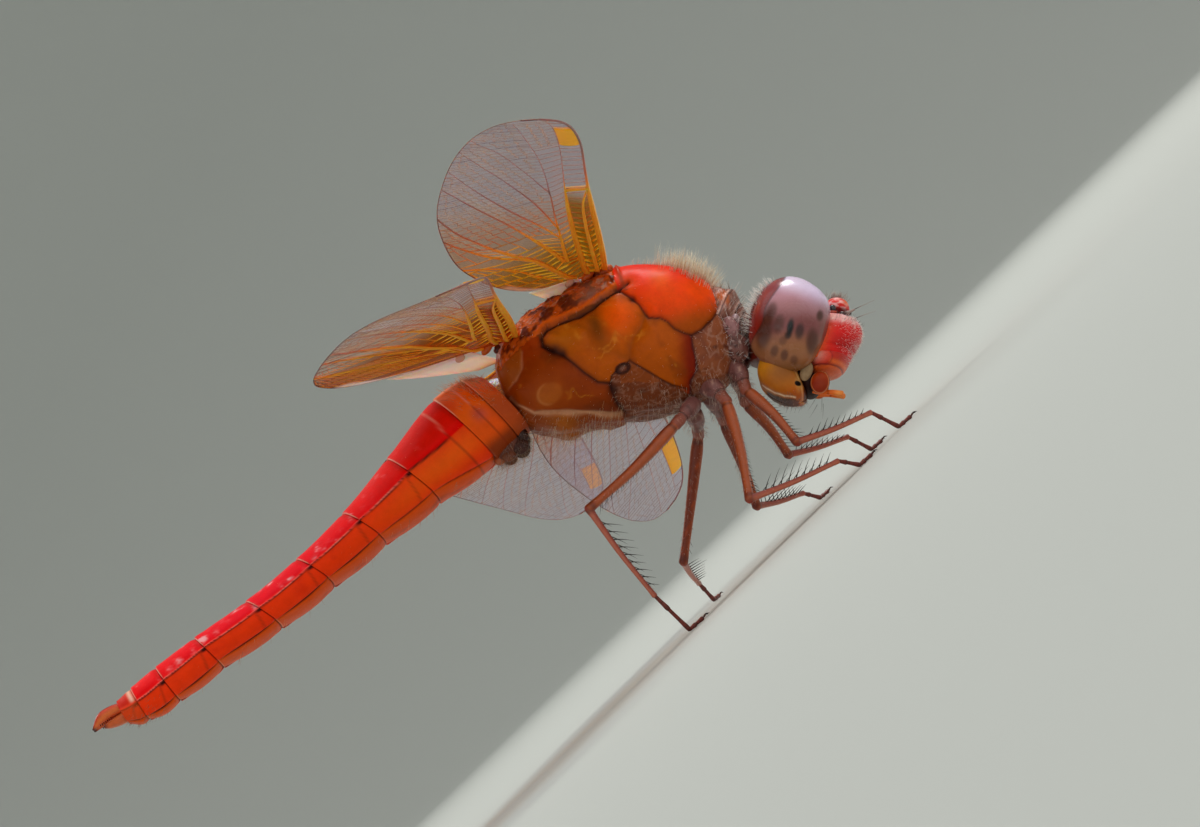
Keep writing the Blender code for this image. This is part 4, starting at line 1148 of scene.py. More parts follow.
rodRadii = ((0, 0.24), (0.3, 0.21), (0.55, 0.17), (0.7, 0.18), (1, 0.2))
feelers = (  # path, radii, sides, steps and length of the rounded ends
    ([(3.66, 1.0, 1.1), (3.98, 1.06, 1.26), (4.35, 1.1, 1.44)], ((0, 0.17), (0.4, 0.14), (0.55, 0.1), (1, 0.07)),
     20, 24, 0.2),
    ([(4.3, 1.1, 1.43), (4.9, 1.2, 1.72), (5.7, 1.34, 2.08)], ((0, 0.03), (0.5, 0.017), (1, 0.007)), 8, 30, 0.06),
)
for side, sideName in ((1, "left"), (-1, "right")):
    tooth = mandibleMesh(side)
    putPiece("jaw_tooth_" + sideName, tooth, headFrame, jawFinish, ["mandible_" + sideName])
    rise = 0.4 * (side > 0)  # the left one is held higher
    path = [
        (1.8, side * 0.8, -4.22 + rise / 3), (2.4, side * 1.05, -4.42 + rise), (3.1, side * 1.16, -4.44 + rise),
        (3.76, side * 1.12, -4.5 + rise),
    ]
    rod = tubeMesh("palp_rod", path, rodRadii, 28, paintRod, 40, ends=0.14)
    putPiece("palp_rod_" + sideName, rod, headFrame, jawFinish, ["palp_" + sideName])
    feeler = []
    for path, radii, sides, steps, ends in feelers:
        path = [(x, side * y, z) for x, y, z in path]
        feeler.append(tubeMesh("feeler", path, radii, sides, paintFeeler, steps, ends=ends))
    bristleFinish = cuticle("feeler_shell_" + sideName, roughness=0.4, mottle=0.2, mottleSize=0.3, wrinkle=0.3)
    putPiece("feeler_" + sideName, feeler, headFrame, bristleFinish, ["antenna_" + sideName])


def dentCrown(points):  # two lobes with a furrow between
    rise = 0.16 * bell(np.abs(points[:, 1]) - 0.5, 0.3) - 0.12 * bell(points[:, 1], 0.2)
    points[:, 2] += rise * (points[:, 2] > 0)
    return points


crownMesh = blobMesh("crown", (3.13, 0, 1.8), (0.84, 1.03, 0.62), (214, 44, 34), (0, 6, 0), 96, 64, dent=dentCrown)
points = readPoints(crownMesh)
x, y, z = points.T
repaint(crownMesh, Paint(len(x), (232, 30, 20)).lay(
    ((255, 206, 204), ramp(ripple(points, 0.5, 35), -0.2, 0.6) * 0.75),
    # the paler pink over the very top of the crown is painted light from above
    ((244, 110, 40), ramp(x, 3.35, 3.8) * ramp(z, 1.7, 2.1) * 0.9), ((255, 184, 180), ramp(z, 2.2, 2.42) * 0.6),
    ((96, 14, 14), ramp(-z, -1.75, -1.5) * 0.8), ((120, 20, 18), bell(y, 0.1) * 0.6),
))
crownFinish = cuticle(
    "crown_shell", roughness=0.45, coat=0.1, mottle=0.4, mottleSize=0.3, pits=0.8, pitSize=0.14, wrinkle=0.6,
    wrinkleSize=0.14, glow=0.1,
)
putPiece("crown", crownMesh, headFrame, crownFinish, ["vertex"])

beads = [blobMesh("bead", (3.98, 0, 1.5), (0.15, 0.2, 0.15), (30, 18, 26))]
mouth = [
    blobMesh("mouth", (1.5, 0, -3.72), (0.75, 1.75, 0.88), (38, 10, 8)),
    blobMesh("mouth", (1.85, 0, -3.95), (0.7, 0.9, 0.4), (40, 10, 8)),
]
for side in (1, -1):
    beads.append(blobMesh("bead", (2.86, side * 1.14, 1.5), (0.24, 0.17, 0.24), (34, 20, 34)))
    beads.append(blobMesh("bead", (2.9, side * 1.2, 1.22), (0.3, 0.14, 0.1), (190, 70, 50)))
    beads.append(blobMesh("bead", (3.55, side * 1.0, 1.2), (0.2, 0.15, 0.14), (40, 10, 12)))
    mouth.append(blobMesh("mouth", (1.32, side * 1.72, -3.15), (0.42, 0.24, 0.72), (160, 132, 98), (0, 14, 0)))
beadFinish = cuticle("bead_shell", roughness=0.12, coat=1.0, mottle=0.2, mottleSize=0.2, wrinkle=0.1)
putPiece("simple_eyes", beads, headFrame, beadFinish)
mouthFinish = cuticle(
    "mouth_shell", roughness=0.5, coat=0.05, shine=0.12, mottle=0.5, mottleSize=0.3, wrinkle=0.8, wrinkleSize=0.12
)
putPiece("mouth_parts", mouth, headFrame, mouthFinish)
print("head made")


wingPlans = {
    "forewing": {
        "hinge": (7.1, 1.6, 6.65), "length": 44.5, "nodus": 0.52, "amber": 0.32, "stigma": (0.815, 0.925),
        "weave": (0.22, 0.52), "baseCell": 1.5, "weaveCell": 0.9, "sieve": (222, 190, 108),
        "edges": (  # place along, leading edge and trailing edge, as shares of the length
            (0.0, 0.0, -0.08), (0.03, 0.001, -0.125), (0.08, 0.003, -0.16), (0.15, 0.004, -0.188),
            (0.25, 0.004, -0.212), (0.4, 0.002, -0.222), (0.52, 0.0, -0.22), (0.65, -0.002, -0.206),
            (0.8, -0.006, -0.182), (0.9, -0.015, -0.157), (0.955, -0.027, -0.134), (0.985, -0.043, -0.112),
            (1.0, -0.068, -0.086),
        ),
        "veins": {  # height of the fold it lies on, then places as shares of the length and of the chord
            "Sc": (-0.25, (0.02, 0.10), (0.1, 0.085), (0.3, 0.07), (0.45, 0.05), (0.52, 0.0)),
            "R1": (
                0.2, (0.02, 0.24), (0.1, 0.19), (0.25, 0.165), (0.4, 0.155), (0.52, 0.15), (0.7, 0.155),
                (0.85, 0.18), (0.93, 0.2), (0.975, 0.22),
            ),
            "RP1": (
                -0.12, (0.12, 0.30), (0.25, 0.26), (0.4, 0.25), (0.52, 0.25), (0.7, 0.30), (0.85, 0.42),
                (0.95, 0.6), (0.985, 0.8),
            ),
            "RP2": (-0.06, (0.55, 0.26), (0.7, 0.45), (0.82, 0.68), (0.9, 1.0)),
            "IR2": (0.1, (0.33, 0.26), (0.5, 0.38), (0.65, 0.58), (0.76, 0.8), (0.84, 1.0)),
            "RP34": (-0.08, (0.28, 0.27), (0.4, 0.42), (0.55, 0.64), (0.68, 0.87), (0.74, 1.0)),
            "MA": (0.14, (0.12, 0.33), (0.25, 0.42), (0.4, 0.58), (0.52, 0.76), (0.65, 1.0)),
            "MP": (-0.15, (0.02, 0.42), (0.12, 0.46), (0.18, 0.52), (0.3, 0.72), (0.42, 0.9), (0.5, 1.0)),
            "CuA": (0.12, (0.18, 0.55), (0.22, 0.72), (0.3, 0.88), (0.38, 1.0)),
            "A1": (0.05, (0.02, 0.6), (0.1, 0.66), (0.16, 0.75), (0.2, 0.9), (0.22, 1.0)),
        },
    },
    "hindwing": {
        "hinge": (-0.6, 1.6, 7.5), "length": 43.0, "nodus": 0.42, "amber": 0.38, "stigma": (0.82, 0.925),
        "weave": (0.27, 0.36), "baseCell": 1.5, "weaveCell": 0.5, "sieve": (208, 142, 50),
        "edges": (
            (0.0, 0.0, -0.08), (0.015, 0.001, -0.18), (0.05, 0.003, -0.265), (0.12, 0.005, -0.308),
            (0.2, 0.005, -0.312), (0.32, 0.002, -0.29), (0.48, 0.0, -0.255), (0.65, -0.004, -0.22),
            (0.8, -0.011, -0.185), (0.9, -0.021, -0.159), (0.955, -0.034, -0.137), (0.985, -0.051, -0.116),
            (1.0, -0.074, -0.092),
        ),
        "veins": {
            "Sc": (-0.25, (0.02, 0.06), (0.15, 0.05), (0.35, 0.035), (0.42, 0.0)),
            "R1": (
                0.2, (0.02, 0.16), (0.1, 0.12), (0.25, 0.115), (0.42, 0.12), (0.6, 0.135), (0.8, 0.17),
                (0.92, 0.2), (0.975, 0.22),
            ),
            "RP1": (
                -0.12, (0.1, 0.2), (0.25, 0.18), (0.42, 0.19), (0.6, 0.25), (0.8, 0.4), (0.93, 0.65),
                (0.985, 0.85),
            ),
            "RP2": (-0.06, (0.45, 0.2), (0.6, 0.38), (0.74, 0.66), (0.86, 1.0)),
            "IR2": (0.1, (0.26, 0.19), (0.42, 0.32), (0.58, 0.56), (0.7, 0.82), (0.77, 1.0)),
            "RP34": (-0.08, (0.2, 0.19), (0.35, 0.33), (0.5, 0.57), (0.62, 0.85), (0.68, 1.0)),
            "MA": (0.14, (0.1, 0.23), (0.22, 0.31), (0.36, 0.5), (0.48, 0.75), (0.58, 1.0)),
            "MP": (-0.15, (0.02, 0.28), (0.09, 0.3), (0.14, 0.36), (0.26, 0.52), (0.38, 0.78), (0.45, 1.0)),
            "CuA": (0.12, (0.11, 0.36), (0.17, 0.5), (0.25, 0.7), (0.31, 0.88), (0.36, 1.0)),
            "midrib": (0.08, (0.04, 0.36), (0.08, 0.42), (0.15, 0.7), (0.2, 0.9), (0.23, 1.0)),
        },
    },
}
wingPoses = {  # sweep back, droop, bend down, pitch and twist, in degrees
    "forewing_right": (0.0, 2.0, 8.0, 26.0, 15.0), "forewing_left": (0.0, -2.0, 14.0, 5.0, -14.0),
    "hindwing_right": (3.0, 3.5, 14.5, 27.0, -5.0), "hindwing_left": (-3.5, -4.0, 13.0, 8.0, 7.0),
}
wingLook = {
    "cellLength": 0.42, "cellHeight": 0.62, "bandLength": 1.3, "bandLimit": 1.6, "smallestGap": 0.22,
    "foldWidth": 0.055, "thickness": 0.035, "grid": (190, 60), "costa": 0.115, "main": 0.085, "cross": 0.05,
    "stout": {"C": 2.0, "Sc": 1.9, "R1": 2.7, "RP1": 1.8, "MP": 2.2, "MA": 2.0, "CuA": 1.4},
    # the vein orange and gold are brightened past the veins' own tones, as painted glow of light through them
    "orange": (255, 138, 12), "goldGlow": (255, 200, 58), "brown": (122, 96, 96), "margin": (52, 34, 32),
    "stigma": (255, 184, 6), "clear": (196, 182, 206), "stain": (240, 142, 10), "sieveClear": (250, 247, 250),
}
frontVeins = ("Sc", "R1")


def wingNamed(name):
    kind, sideName = name.split("_")
    plan, side = wingPlans[kind], 1 if sideName == "left" else -1
    return {**plan, "pose": wingPoses[name], "side": side, "root": np.array(plan["hinge"]) * (1, side, 1)}


def spanDirection(sweep, droop, side):
    sweep, droop = np.radians(sweep), np.radians(droop)
    return np.array([-np.sin(sweep), side * np.cos(sweep) * np.cos(droop), -np.sin(droop)])


def wingPoint(wing, s, v, lift=0.0):  # s runs from root to tip, v from leading edge to trailing edge
    s, v = np.atleast_1d(np.asarray(s, float)), np.atleast_1d(np.asarray(v, float))
    sweep, droop, bend, pitch, twist = wing["pose"]
    root = unit(spanDirection(sweep, droop, wing["side"]))
    curve = unit(spanDirection(sweep, droop + bend, wing["side"])) - root
    along = unit(root + curve * s[:, None])
    rise = np.radians(pitch + twist * s)
    forward = np.stack([np.cos(rise), np.zeros_like(rise), -np.sin(rise)], 1)
    forward = unit(forward - along * (forward * along).sum(1, keepdims=True))
    spine = root * s[:, None] + curve * (s[:, None] ** 2) / 2
    leading, trailing = smoothTable(wing["edges"], np.clip(s, 0, 1))
    chord = leading + (trailing - leading) * v
    upward = np.cross(along, forward) * -wing["side"] * np.broadcast_to(lift, s.shape)[:, None]
    return wing["root"] + wing["length"] * (spine + forward * chord[:, None]) + upward


def veinPlace(line, s):  # where a vein crosses places along the wing
    return np.clip(smoothTable(line, np.clip(s, line[0][0], line[-1][0]))[0], 0, 1)


def veinAt(line, s):
    return veinPlace(line, [s])[0]


def foldHeight(wing, s, v):
    total = np.zeros(np.broadcast(s, v).shape)
    for height, *line in wing["veins"].values():
        fade = ramp(s, line[0][0] - 0.05, line[0][0] + 0.03) * ramp(line[-1][0] + 0.04 - s, 0, 0.08)
        total = total + height * fade * bell(v - veinPlace(line, s), wingLook["foldWidth"]) * (1.15 - 0.75 * s)
    return total * ramp(v, 0.0, 0.06) * ramp(1 - v, 0.0, 0.12) * ramp(s, 0.0, 0.05)


def veinsMesh(name, band, lines, wing):  # each line has its places and a radius for each
    data = bpy.data.curves.new(name, "CURVE")
    data.dimensions, data.bevel_depth, data.bevel_resolution, data.use_fill_caps = "3D", 1.0, 0, True
    for stations, chords, radii in lines:
        points = wingPoint(wing, stations, chords, foldHeight(wing, stations, chords))
        spline = data.splines.new("POLY")
        spline.points.add(len(points) - 1)
        spline.points.foreach_set("co", np.column_stack([points, np.ones(len(points))]).ravel())
        spline.points.foreach_set("radius", np.broadcast_to(radii, len(points)).astype(float).copy())
    holder = addObject(name, data)
    made = bpy.data.meshes.new_from_object(holder.evaluated_get(bpy.context.evaluated_depsgraph_get()))
    bpy.data.objects.remove(holder)
    bpy.data.curves.remove(data)

    # orange near the root and along the front, brown further out; the orange and gold are brighter than the veins'
    # own tones, a painted glow of light shining through them
    points = readPoints(made)
    s = np.linalg.norm(points - wing["root"], axis=1) / wing["length"]
    nodus, amber = wing["nodus"], wing["amber"]
    reach = {"front": nodus + 0.1, "main": amber + 0.1, "edge": amber * 0.5, "cross": amber + 0.04}[band]
    goldGlowShare = 0.9 if band == "cross" else 0.35 + 0.4 * ramp(ripple(points, 3.0, 61), 0.0, 0.8)
    paint = Paint(len(s), wingLook["brown"]).lay(
        ((186, 112, 84), ramp(reach + 0.2 - s, 0.0, 0.25)), (wingLook["orange"], ramp(reach - s, -0.02, 0.12)),
        (wingLook["goldGlow"], ramp(reach - s, 0.0, 0.14) * goldGlowShare),
    )
    if band == "edge":
        paint.lay((wingLook["margin"], ramp(s, 0.05, 0.3) * 0.8))
    setLayers(made, {"tint": paint.colour})
    return made


def cellRuns(wing, columns, order):  # stretches where two neighbouring veins have the same number of cells between
    leading, trailing = smoothTable(wing["edges"], columns)
    chords = (leading - trailing) * wing["length"]
    places = {key: veinPlace(line, columns) for key, line in order.items()}
    for key, line in order.items():
        places[key][(columns < line[0][0] - 1e-6) | (columns > line[-1][0] + 1e-6)] = np.nan
    runs, before = [], {}
    for i, column in enumerate(columns):
        present = sorted((places[key][i], key) for key in places if not np.isnan(places[key][i]))
        now = {}
        for (first, firstKey), (second, secondKey) in zip(present, present[1:]):
            gap = (second - first) * chords[i]
            if gap < wingLook["smallestGap"]:
                continue
            if column < wing["weave"][0] and first > wing["weave"][1]:
                wanted = gap / wing["weaveCell"]
            else:
                wanted = gap / wingLook["cellHeight"] / (1 + 0.7 * ramp(wing["amber"] - column, 0.0, 0.1))
            narrow = firstKey in frontVeins + ("C",) and secondKey in frontVeins + ("RP1",)
            narrow = narrow and gap < wingLook["bandLimit"]
            key = (firstKey, secondKey)
            held = before.get(key)
            rows = 1 if narrow else max(1, round(wanted))
            if held and not narrow and abs(wanted - held["rows"]) < 0.8:
                rows = held["rows"]
            if held:
                held["to"] = i
            if held and held["rows"] == rows:
                now[key] = held
            else:
                middle = {"pair": key, "rows": rows, "from": i, "to": i, "narrow": narrow}
                now[key] = middle
                runs.append(middle)
        before = now
    return runs, places


def netLines(wing):  # the small cross-veins, column by column between the veins that are there
    length = wing["length"]
    step = wingLook["cellLength"] / length
    columns = [0.03]
    while columns[-1] < 0.985:
        coarse = ramp(wing["amber"] + 0.08 - columns[-1], 0.0, 0.16)
        columns.append(columns[-1] + step * (1 + (wing["baseCell"] / wingLook["cellLength"] - 1) * coarse))
    columns = np.array(columns[:-1])
    order = {"C": ((0.0, 0.0), (1.0, 0.0)), "T": ((0.0, 1.0), (1.0, 1.0))}
    order.update({key: line[1:] for key, line in wing["veins"].items()})
    runs, places = cellRuns(wing, columns, order)
    lines = []

    def put(stations, chords, thick=1.0):
        stations = np.array(stations, float)
        radii = wingLook["cross"] * thick * (1.0 - 0.68 * ramp(stations, 0.1, 0.55))
        lines.append((stations, np.array(chords, float), radii))

    for run in runs:
        start, end, rows = run["from"], run["to"], run["rows"]
        firstLine, secondLine = (order[key] for key in run["pair"])
        middle = (start + end) // 2

        def level(s, share):
            first = veinAt(firstLine, s)
            return first + (veinAt(secondLine, s) - first) * share

        if rows == 1:  # rungs from vein to vein
            spacing = (wingLook["bandLength"] if run["narrow"] else 0.9) / length
            for place in np.arange(columns[start], columns[end] + 0.5 * step, spacing):
                s = place + dice.uniform(-0.15, 0.15) * spacing
                if run["pair"] == ("C", "R1") and wing["stigma"][0] - 0.005 < s < wing["stigma"][1] + 0.005:
                    continue
                lean = dice.uniform(-0.3, 0.3) * step
                ends = [level(s - lean, 0.0), level(s + lean, 1.0)]
                put([s - lean, s + lean], ends, 1.5 if run["narrow"] else 1.0)
            continue
        if columns[middle] < wing["weave"][0] and places[run["pair"][0]][middle] > wing["weave"][1]:
            for i in range(start, end + 1):  # the field near the root: lines across the wing with offset links
                put([columns[i]] * 6, [level(columns[i], share) for share in np.linspace(0, 1, 6)])
                for j in range(rows if i < end else 0):
                    share = (j + (0.25 if i % 2 else 0.75)) / rows
                    put(columns[i:i + 2], [level(s, share) for s in columns[i:i + 2]])
            continue
        loose = dice.uniform(-1, 1, (end - start + 1, rows + 1, 2))
        spots = {}
        for i in range(start, end + 1):
            calm = 1 - 0.75 * ramp(wing["amber"] + 0.1 - columns[i], 0.0, 0.1)
            for j in range(rows + 1):
                share, s = j, columns[i]
                if start < i < end:
                    s = s + 0.12 * loose[i - start, j, 1] * step
                    if 0 < j < rows:
                        share = j + (0.17 if (i + j) % 2 else -0.17) * calm + 0.08 * loose[i - start, j, 0] * calm
                spots[i, j] = (s, level(s, share / rows))
        for j in range(1, rows):
            put(*zip(*(spots[i, j] for i in range(start, end + 1))))
        for i in range(start, end + 1):
            for j in range(rows):
                if i in (start, end) or (i + j) % 2 == 0:
                    put(*zip(spots[i, j], spots[i, j + 1]))
    return [line for line in lines if len(line[0]) > 1]


def mainLines(wing):  # the named veins and the edges of the wing, with the thickness of each
    nodus, veins, stout = wing["nodus"], wing["veins"], wingLook["stout"]
    along = np.linspace(0.0, 1.0, 120)
    tip, root = 0.998, 0.004
    thick = 1 + (stout["C"] - 1) * ramp(nodus + 0.1 - along, 0.0, 0.25)
    front = [(along * tip, np.full(120, 0.0), wingLook["costa"] * (1.15 - 0.5 * along) * thick)]
    edge = [
        (along[2:] * tip, np.full(118, 1.0), 0.04 * (1.25 - 0.7 * along)[2:]),
        (np.full(14, tip), np.linspace(0.0, 1.0, 14), 0.05), (np.full(12, root), np.linspace(0.0, 1.0, 12), 0.07),
    ]
    main = []
    for key, (_, *line) in veins.items():
        (start, begin), end = line[0], line[-1][0]
        s = np.linspace(start, end, max(12, int((end - start) * 110)))
        reach = nodus if key in frontVeins else wing["amber"]
        thick = 1 + (stout.get(key, 1.0) - 1) * ramp(reach + 0.05 - s, 0.0, 0.2)
        radius = wingLook["main"] * (1.1 - 0.7 * s) * thick * (1 - 0.4 * ramp(s, nodus - 0.05, nodus + 0.15))
        (front if key in frontVeins else main).append((s, veinPlace(line, s), radius))
        if start > 0.05:  # a branch starts on the vein before it
            others = {name: other for name, (_, *other) in veins.items() if name != key}
            crossed = {name: other for name, other in others.items() if other[0][0] < start < other[-1][0]}
            _, nearest = min((abs(veinAt(other, start) - begin), name) for name, other in crossed.items())
            before = start - 0.02
            main.append((np.array([before, start]), np.array([veinAt(others[nearest], before), begin]), 0.06))
    knot = veinAt(veins["R1"][1:], nodus)
    front.append((np.array([nodus, nodus + 0.006, nodus]), np.array([0.0, knot * 0.55, knot]), 0.19))
    return {"front": front, "main": main, "edge": edge, "cross": netLines(wing)}


veinFinish = cuticle(
    "wing_vein", roughness=0.45, coat=0.1, mottle=0.2, mottleSize=0.5, wrinkle=0.4, wrinkleSize=0.12, glow=0.6
)
film, tree, shader, place = startMaterial("wing_film")
tint, cover = layerOf(tree, "tint"), layerOf(tree, "cover", "Fac")
waves, fine = clouds(tree, place, 1.3, 3.0), clouds(tree, place, 0.25, 2.0)
paler = times(tree, tint, (1.2, 1.15, 1.1))
feed(tree, shader, {
    "Base Color": mixColour(tree, rangeOf(tree, waves, 0.35, 0.7, 0.0, 0.6), tint, paler),
    "Normal": bumps(tree, fine, 0.3, 0.01), "Roughness": rangeOf(tree, waves, 0.3, 0.7, 0.16, 0.28),
    "Coat Weight": 0.4, "Coat Roughness": 0.12,
})
through = addNode(tree, "BsdfTransparent", {"Color": layerOf(tree, "sieve")}).outputs[0]
share = rangeOf(tree, cover, 0.0, 1.0, 0.0, 1.0)
blend = addNode(tree, "MixShader", {0: share, 1: through, 2: shader.outputs[0]}).outputs[0]
feed(tree, tree.nodes["Material Output"], {"Surface": blend})


def makeWing(name):
    wing = wingNamed(name)
    firstRib = wing["veins"]["R1"][1:]

    def filmShape(s, t):
        s = 0.004 + 0.992 * s
        v = 0.003 + 0.994 * t
        amber = ramp(wing["amber"] - 0.13 + 0.06 * np.cos(v * 2.2) - s, -0.07, 0.1)
        strip = ramp(veinPlace(firstRib, s) - v, -0.02, 0.01) * ramp(wing["nodus"] - s, -0.01, 0.1)
        base = ramp(0.1 - s, 0.0, 0.1)
        white = ramp(v, 0.86, 0.94) * ramp(0.1 - s, 0, 0.03)
        share = np.clip(amber * 0.9 + strip * 0.85, 0, 1)
        paint = Paint(len(s), wingLook["clear"]).lay(
            ((226, 190, 150), ramp(wing["amber"] + 0.3 - s, 0.0, 0.3) * 0.6), (wingLook["stain"], share),
            ((222, 96, 14), base * 0.7), ((250, 240, 234), white),
        )
        sieve = Paint(len(s), wingLook["sieveClear"]).lay(
            ((244, 228, 214), ramp(wing["amber"] + 0.25 - s, 0.0, 0.3)), (wing["sieve"], share),
        )
        cover = 0.19 - 0.07 * share + 0.15 * base + 0.7 * white
        points = wingPoint(wing, s, v, foldHeight(wing, s, v))
        return points, {"tint": paint.colour, "sieve": sieve.colour, "cover": cover}

    filmMesh = surfaceMesh(name + "_film", *wingLook["grid"], filmShape, closed=False)
    thicken(filmMesh, wingLook["thickness"])
    putPiece(name + "_film", filmMesh, trunkFrame, film, [name])

    def stigmaShape(s, t):  # the thick yellow cell near the tip
        low, high = wing["stigma"]
        place = low + (high - low) * np.clip((s - 0.04) / 0.92, 0, 1)
        inner = veinPlace(firstRib, place)
        angle = t * fullTurn
        _, shrink = endCaps(s, 0.04)
        v = inner * (0.5 + 0.48 * power(np.cos(angle), 0.4))
        height = foldHeight(wing, place, v) + 0.09 * np.sin(angle) * shrink
        points = wingPoint(wing, place, inner * 0.5 + (v - inner * 0.5) * (0.3 + 0.7 * shrink), height)
        paint = Paint(len(s), wingLook["stigma"]).lay(((214, 96, 16), ramp(np.abs(np.cos(angle)), 0.8, 1.0) * 0.5))
        return points, {"tint": paint.colour}

    meshes = [veinsMesh(name + "_veins", band, lines, wing) for band, lines in mainLines(wing).items()]
    meshes.append(surfaceMesh(name + "_veins", 40, 24, stigmaShape))
    veins = putPiece(name + "_veins", meshes, trunkFrame, veinFinish)
    return len(veins.data.polygons)


for name in wingPoses:
    print(name, "made:", makeWing(name), "vein faces")


collar = {
    "path": [
        (9.7, 0, -0.3), (10.15, 0, -1.1), (10.6, 0, -2.0), (11.0, 0, -2.7), (11.4, 0, -3.2), (11.85, 0, -3.85),
    ],
    "radii": ((0, 2.2), (0.2, 2.45), (0.42, 2.15), (0.62, 1.4), (0.75, 1.05), (1, 0.9)),
    "creases": (0.3, 0.52, 0.64, 0.74),
    "lumps": (  # place, size, colour and tilt
        ((10.3, 2.0, -2.5), (0.62, 0.6, 0.75), (160, 112, 112), 30),
        ((9.6, 1.5, -3.5), (0.9, 0.8, 1.1), (120, 74, 66), 20),
        ((10.9, 1.3, -1.25), (0.6, 0.8, 0.4), (216, 110, 46), 40),
        ((10.95, 1.75, -2.3), (0.26, 0.35, 0.4), (190, 160, 166), 30),
        ((11.3, 0.95, -3.1), (0.5, 0.45, 0.5), (120, 56, 40), 40),
        ((10.0, 1.9, -1.7), (0.4, 0.4, 0.5), (120, 80, 96), 10),
    ),
}


def paintCollar(along, angle):
    spots = np.stack([along * 5, np.sin(angle) * 2, np.cos(angle) * 2], 1)
    cloud, fine = ripple(spots, 2.2, 71), ripple(spots, 0.8, 72)
    paint = Paint(len(along), (142, 88, 72)).lay(
        ((214, 168, 156), ramp(fine, 0.15, 0.9) * 0.75), ((56, 24, 24), ramp(-fine, 0.25, 0.9) * 0.85),
        ((228, 110, 34), ramp(cloud, 0.2, 0.9) * ramp(np.cos(angle), 0.0, 0.7) * 0.75),
    )
    for place in collar["creases"]:
        dark, pale = bell(along - place, 0.012) * 0.85, bell(along - place + 0.03, 0.016) * 0.6
        paint.lay(((48, 20, 20), dark), ((232, 190, 176), pale))
    return paint.colour


collarMesh = tubeMesh(
    "collar", collar["path"], collar["radii"], 160, paintCollar, 120, above=(1, 0, 0.6), ends=0.05
)
points = readPoints(collarMesh)
axis = unit(np.array(collar["path"][-1]) - np.array(collar["path"][0]))
depth = (points - collar["path"][0]) @ axis
spread = points - np.array(collar["path"][0]) - depth[:, None] * axis
folds = 0.12 * ripple(points, 1.5, 73) + 0.05 * np.sin(depth * 5.2) + 0.06 * ripple(points, 0.55, 74)
points = points + unit(spread) * folds[:, None]
setPoints(collarMesh, points)
collarFinish = cuticle(
    "collar_shell", roughness=0.42, coat=0.2, mottle=0.4, mottleSize=0.4, pits=0.5, pitSize=0.14, wrinkle=0.8,
    wrinkleSize=0.15,
)


def creased(mesh, seed):  # a lump with cracks, pale ridges and dark hollows
    points = readPoints(mesh)
    cloud, fine = ripple(points, 0.9, seed), ripple(points, 0.4, seed + 1)
    middle = points.mean(0)
    points = middle + (points - middle) * (1 + 0.16 * cloud + 0.06 * fine)[:, None]
    colours = np.empty(len(points) * 4)
    mesh.attributes["tint"].data.foreach_get("color", colours)
    paint = Paint(len(points), (0, 0, 0))
    paint.colour[:] = colours.reshape(-1, 4)
    # the dark laid in the hollows is painted shade
    paint.lay(((64, 28, 28), ramp(-cloud, 0.1, 0.7) * 0.85), ((222, 190, 182), ramp(fine, 0.3, 0.9) * 0.7))
    setPoints(mesh, points)
    repaint(mesh, paint)
    return mesh


lumps = [collarMesh]
for side in (1, -1):
    for number, ((x, y, z), size, tone, tilt) in enumerate(collar["lumps"]):
        lump = blobMesh("collar", (x, side * y, z), size, tone, (0, tilt, 0), 64, 48)
        lumps.append(creased(lump, 90 + number * 3))
collarPiece = putPiece("collar", lumps, trunkFrame, collarFinish, ["prothorax", "neck"])

legPlans = {  # the hip socket from the trunk's frame, then hip, knee, ankle, heel and toe over the floor
    "front_right": (
        (8.6, -0.9, -4.6), (8.03, -2.6, 9.19), (7.82, -4.5, 4.24), (12.78, -5.0, 2.2), (13.5, -4.8, 0.0),
        (14.6, -4.6, 0.0),
    ),
    "front_left": (
        (8.6, 0.9, -4.6), (8.1, 2.6, 8.7), (8.0, 4.9, 4.0), (12.2, 7.3, 2.0), (12.9, 8.0, 0.0), (13.9, 8.5, 0.0),
    ),
    "middle_right": (
        (6.4, -1.3, -4.3), (6.42, -3.4, 9.58), (2.62, -6.0, 3.7), (8.66, -6.5, 1.41), (9.6, -6.0, 0.0),
        (10.7, -5.6, 0.0),
    ),
    "middle_left": (
        (6.4, 1.3, -4.3), (6.2, 3.3, 8.8), (4.05, 6.2, 2.94), (7.6, 10.9, 1.3), (8.4, 11.9, 0.0), (9.2, 12.6, 0.0),
    ),
    "hind_right": (
        (4.6, -1.3, -4.4), (2.87, -3.4, 10.81), (-5.64, -6.0, 10.7), (-6.55, -6.5, 3.47), (-6.4, -6.0, 0.0),
        (-5.2, -5.8, 0.0),
    ),
    "hind_left": (
        (4.6, 1.3, -4.4), (4.27, 3.6, 9.3), (-2.34, 6.5, 3.7), (-1.9, 13.9, 1.8), (-1.8, 15.4, 0.0),
        (-1.2, 16.6, 0.0),
    ),
}
legLook = {
    # the pale femur tone is a painted mauve highlight
    "coxa": (128, 80, 76), "coxaWarm": (164, 84, 60), "femur": (172, 82, 40), "femurHighlight": (202, 138, 122),
    "femurDark": (104, 34, 24), "tibia": (158, 70, 54), "tibiaDark": (92, 32, 28), "foot": (118, 44, 34),
    "spine": (22, 14, 16), "spines": 9, "spineLength": (0.75, 1.5), "thighSpines": 14,
    "coxaWidth": {"front": 0.68, "middle": 0.74, "hind": 0.62},
    "thigh": ((0, 0.34), (0.12, 0.44), (0.5, 0.36), (0.85, 0.3), (1, 0.34)),
    "shin": ((0, 0.3), (0.08, 0.24), (0.5, 0.19), (0.92, 0.17), (1, 0.2)), "thighBow": 0.18, "shinBow": 0.12,
}
coxaFinish = cuticle(
    "coxa_shell", roughness=0.42, coat=0.2, mottle=0.4, mottleSize=0.4, pits=0.4, pitSize=0.12, wrinkle=0.7,
    wrinkleSize=0.15,
)
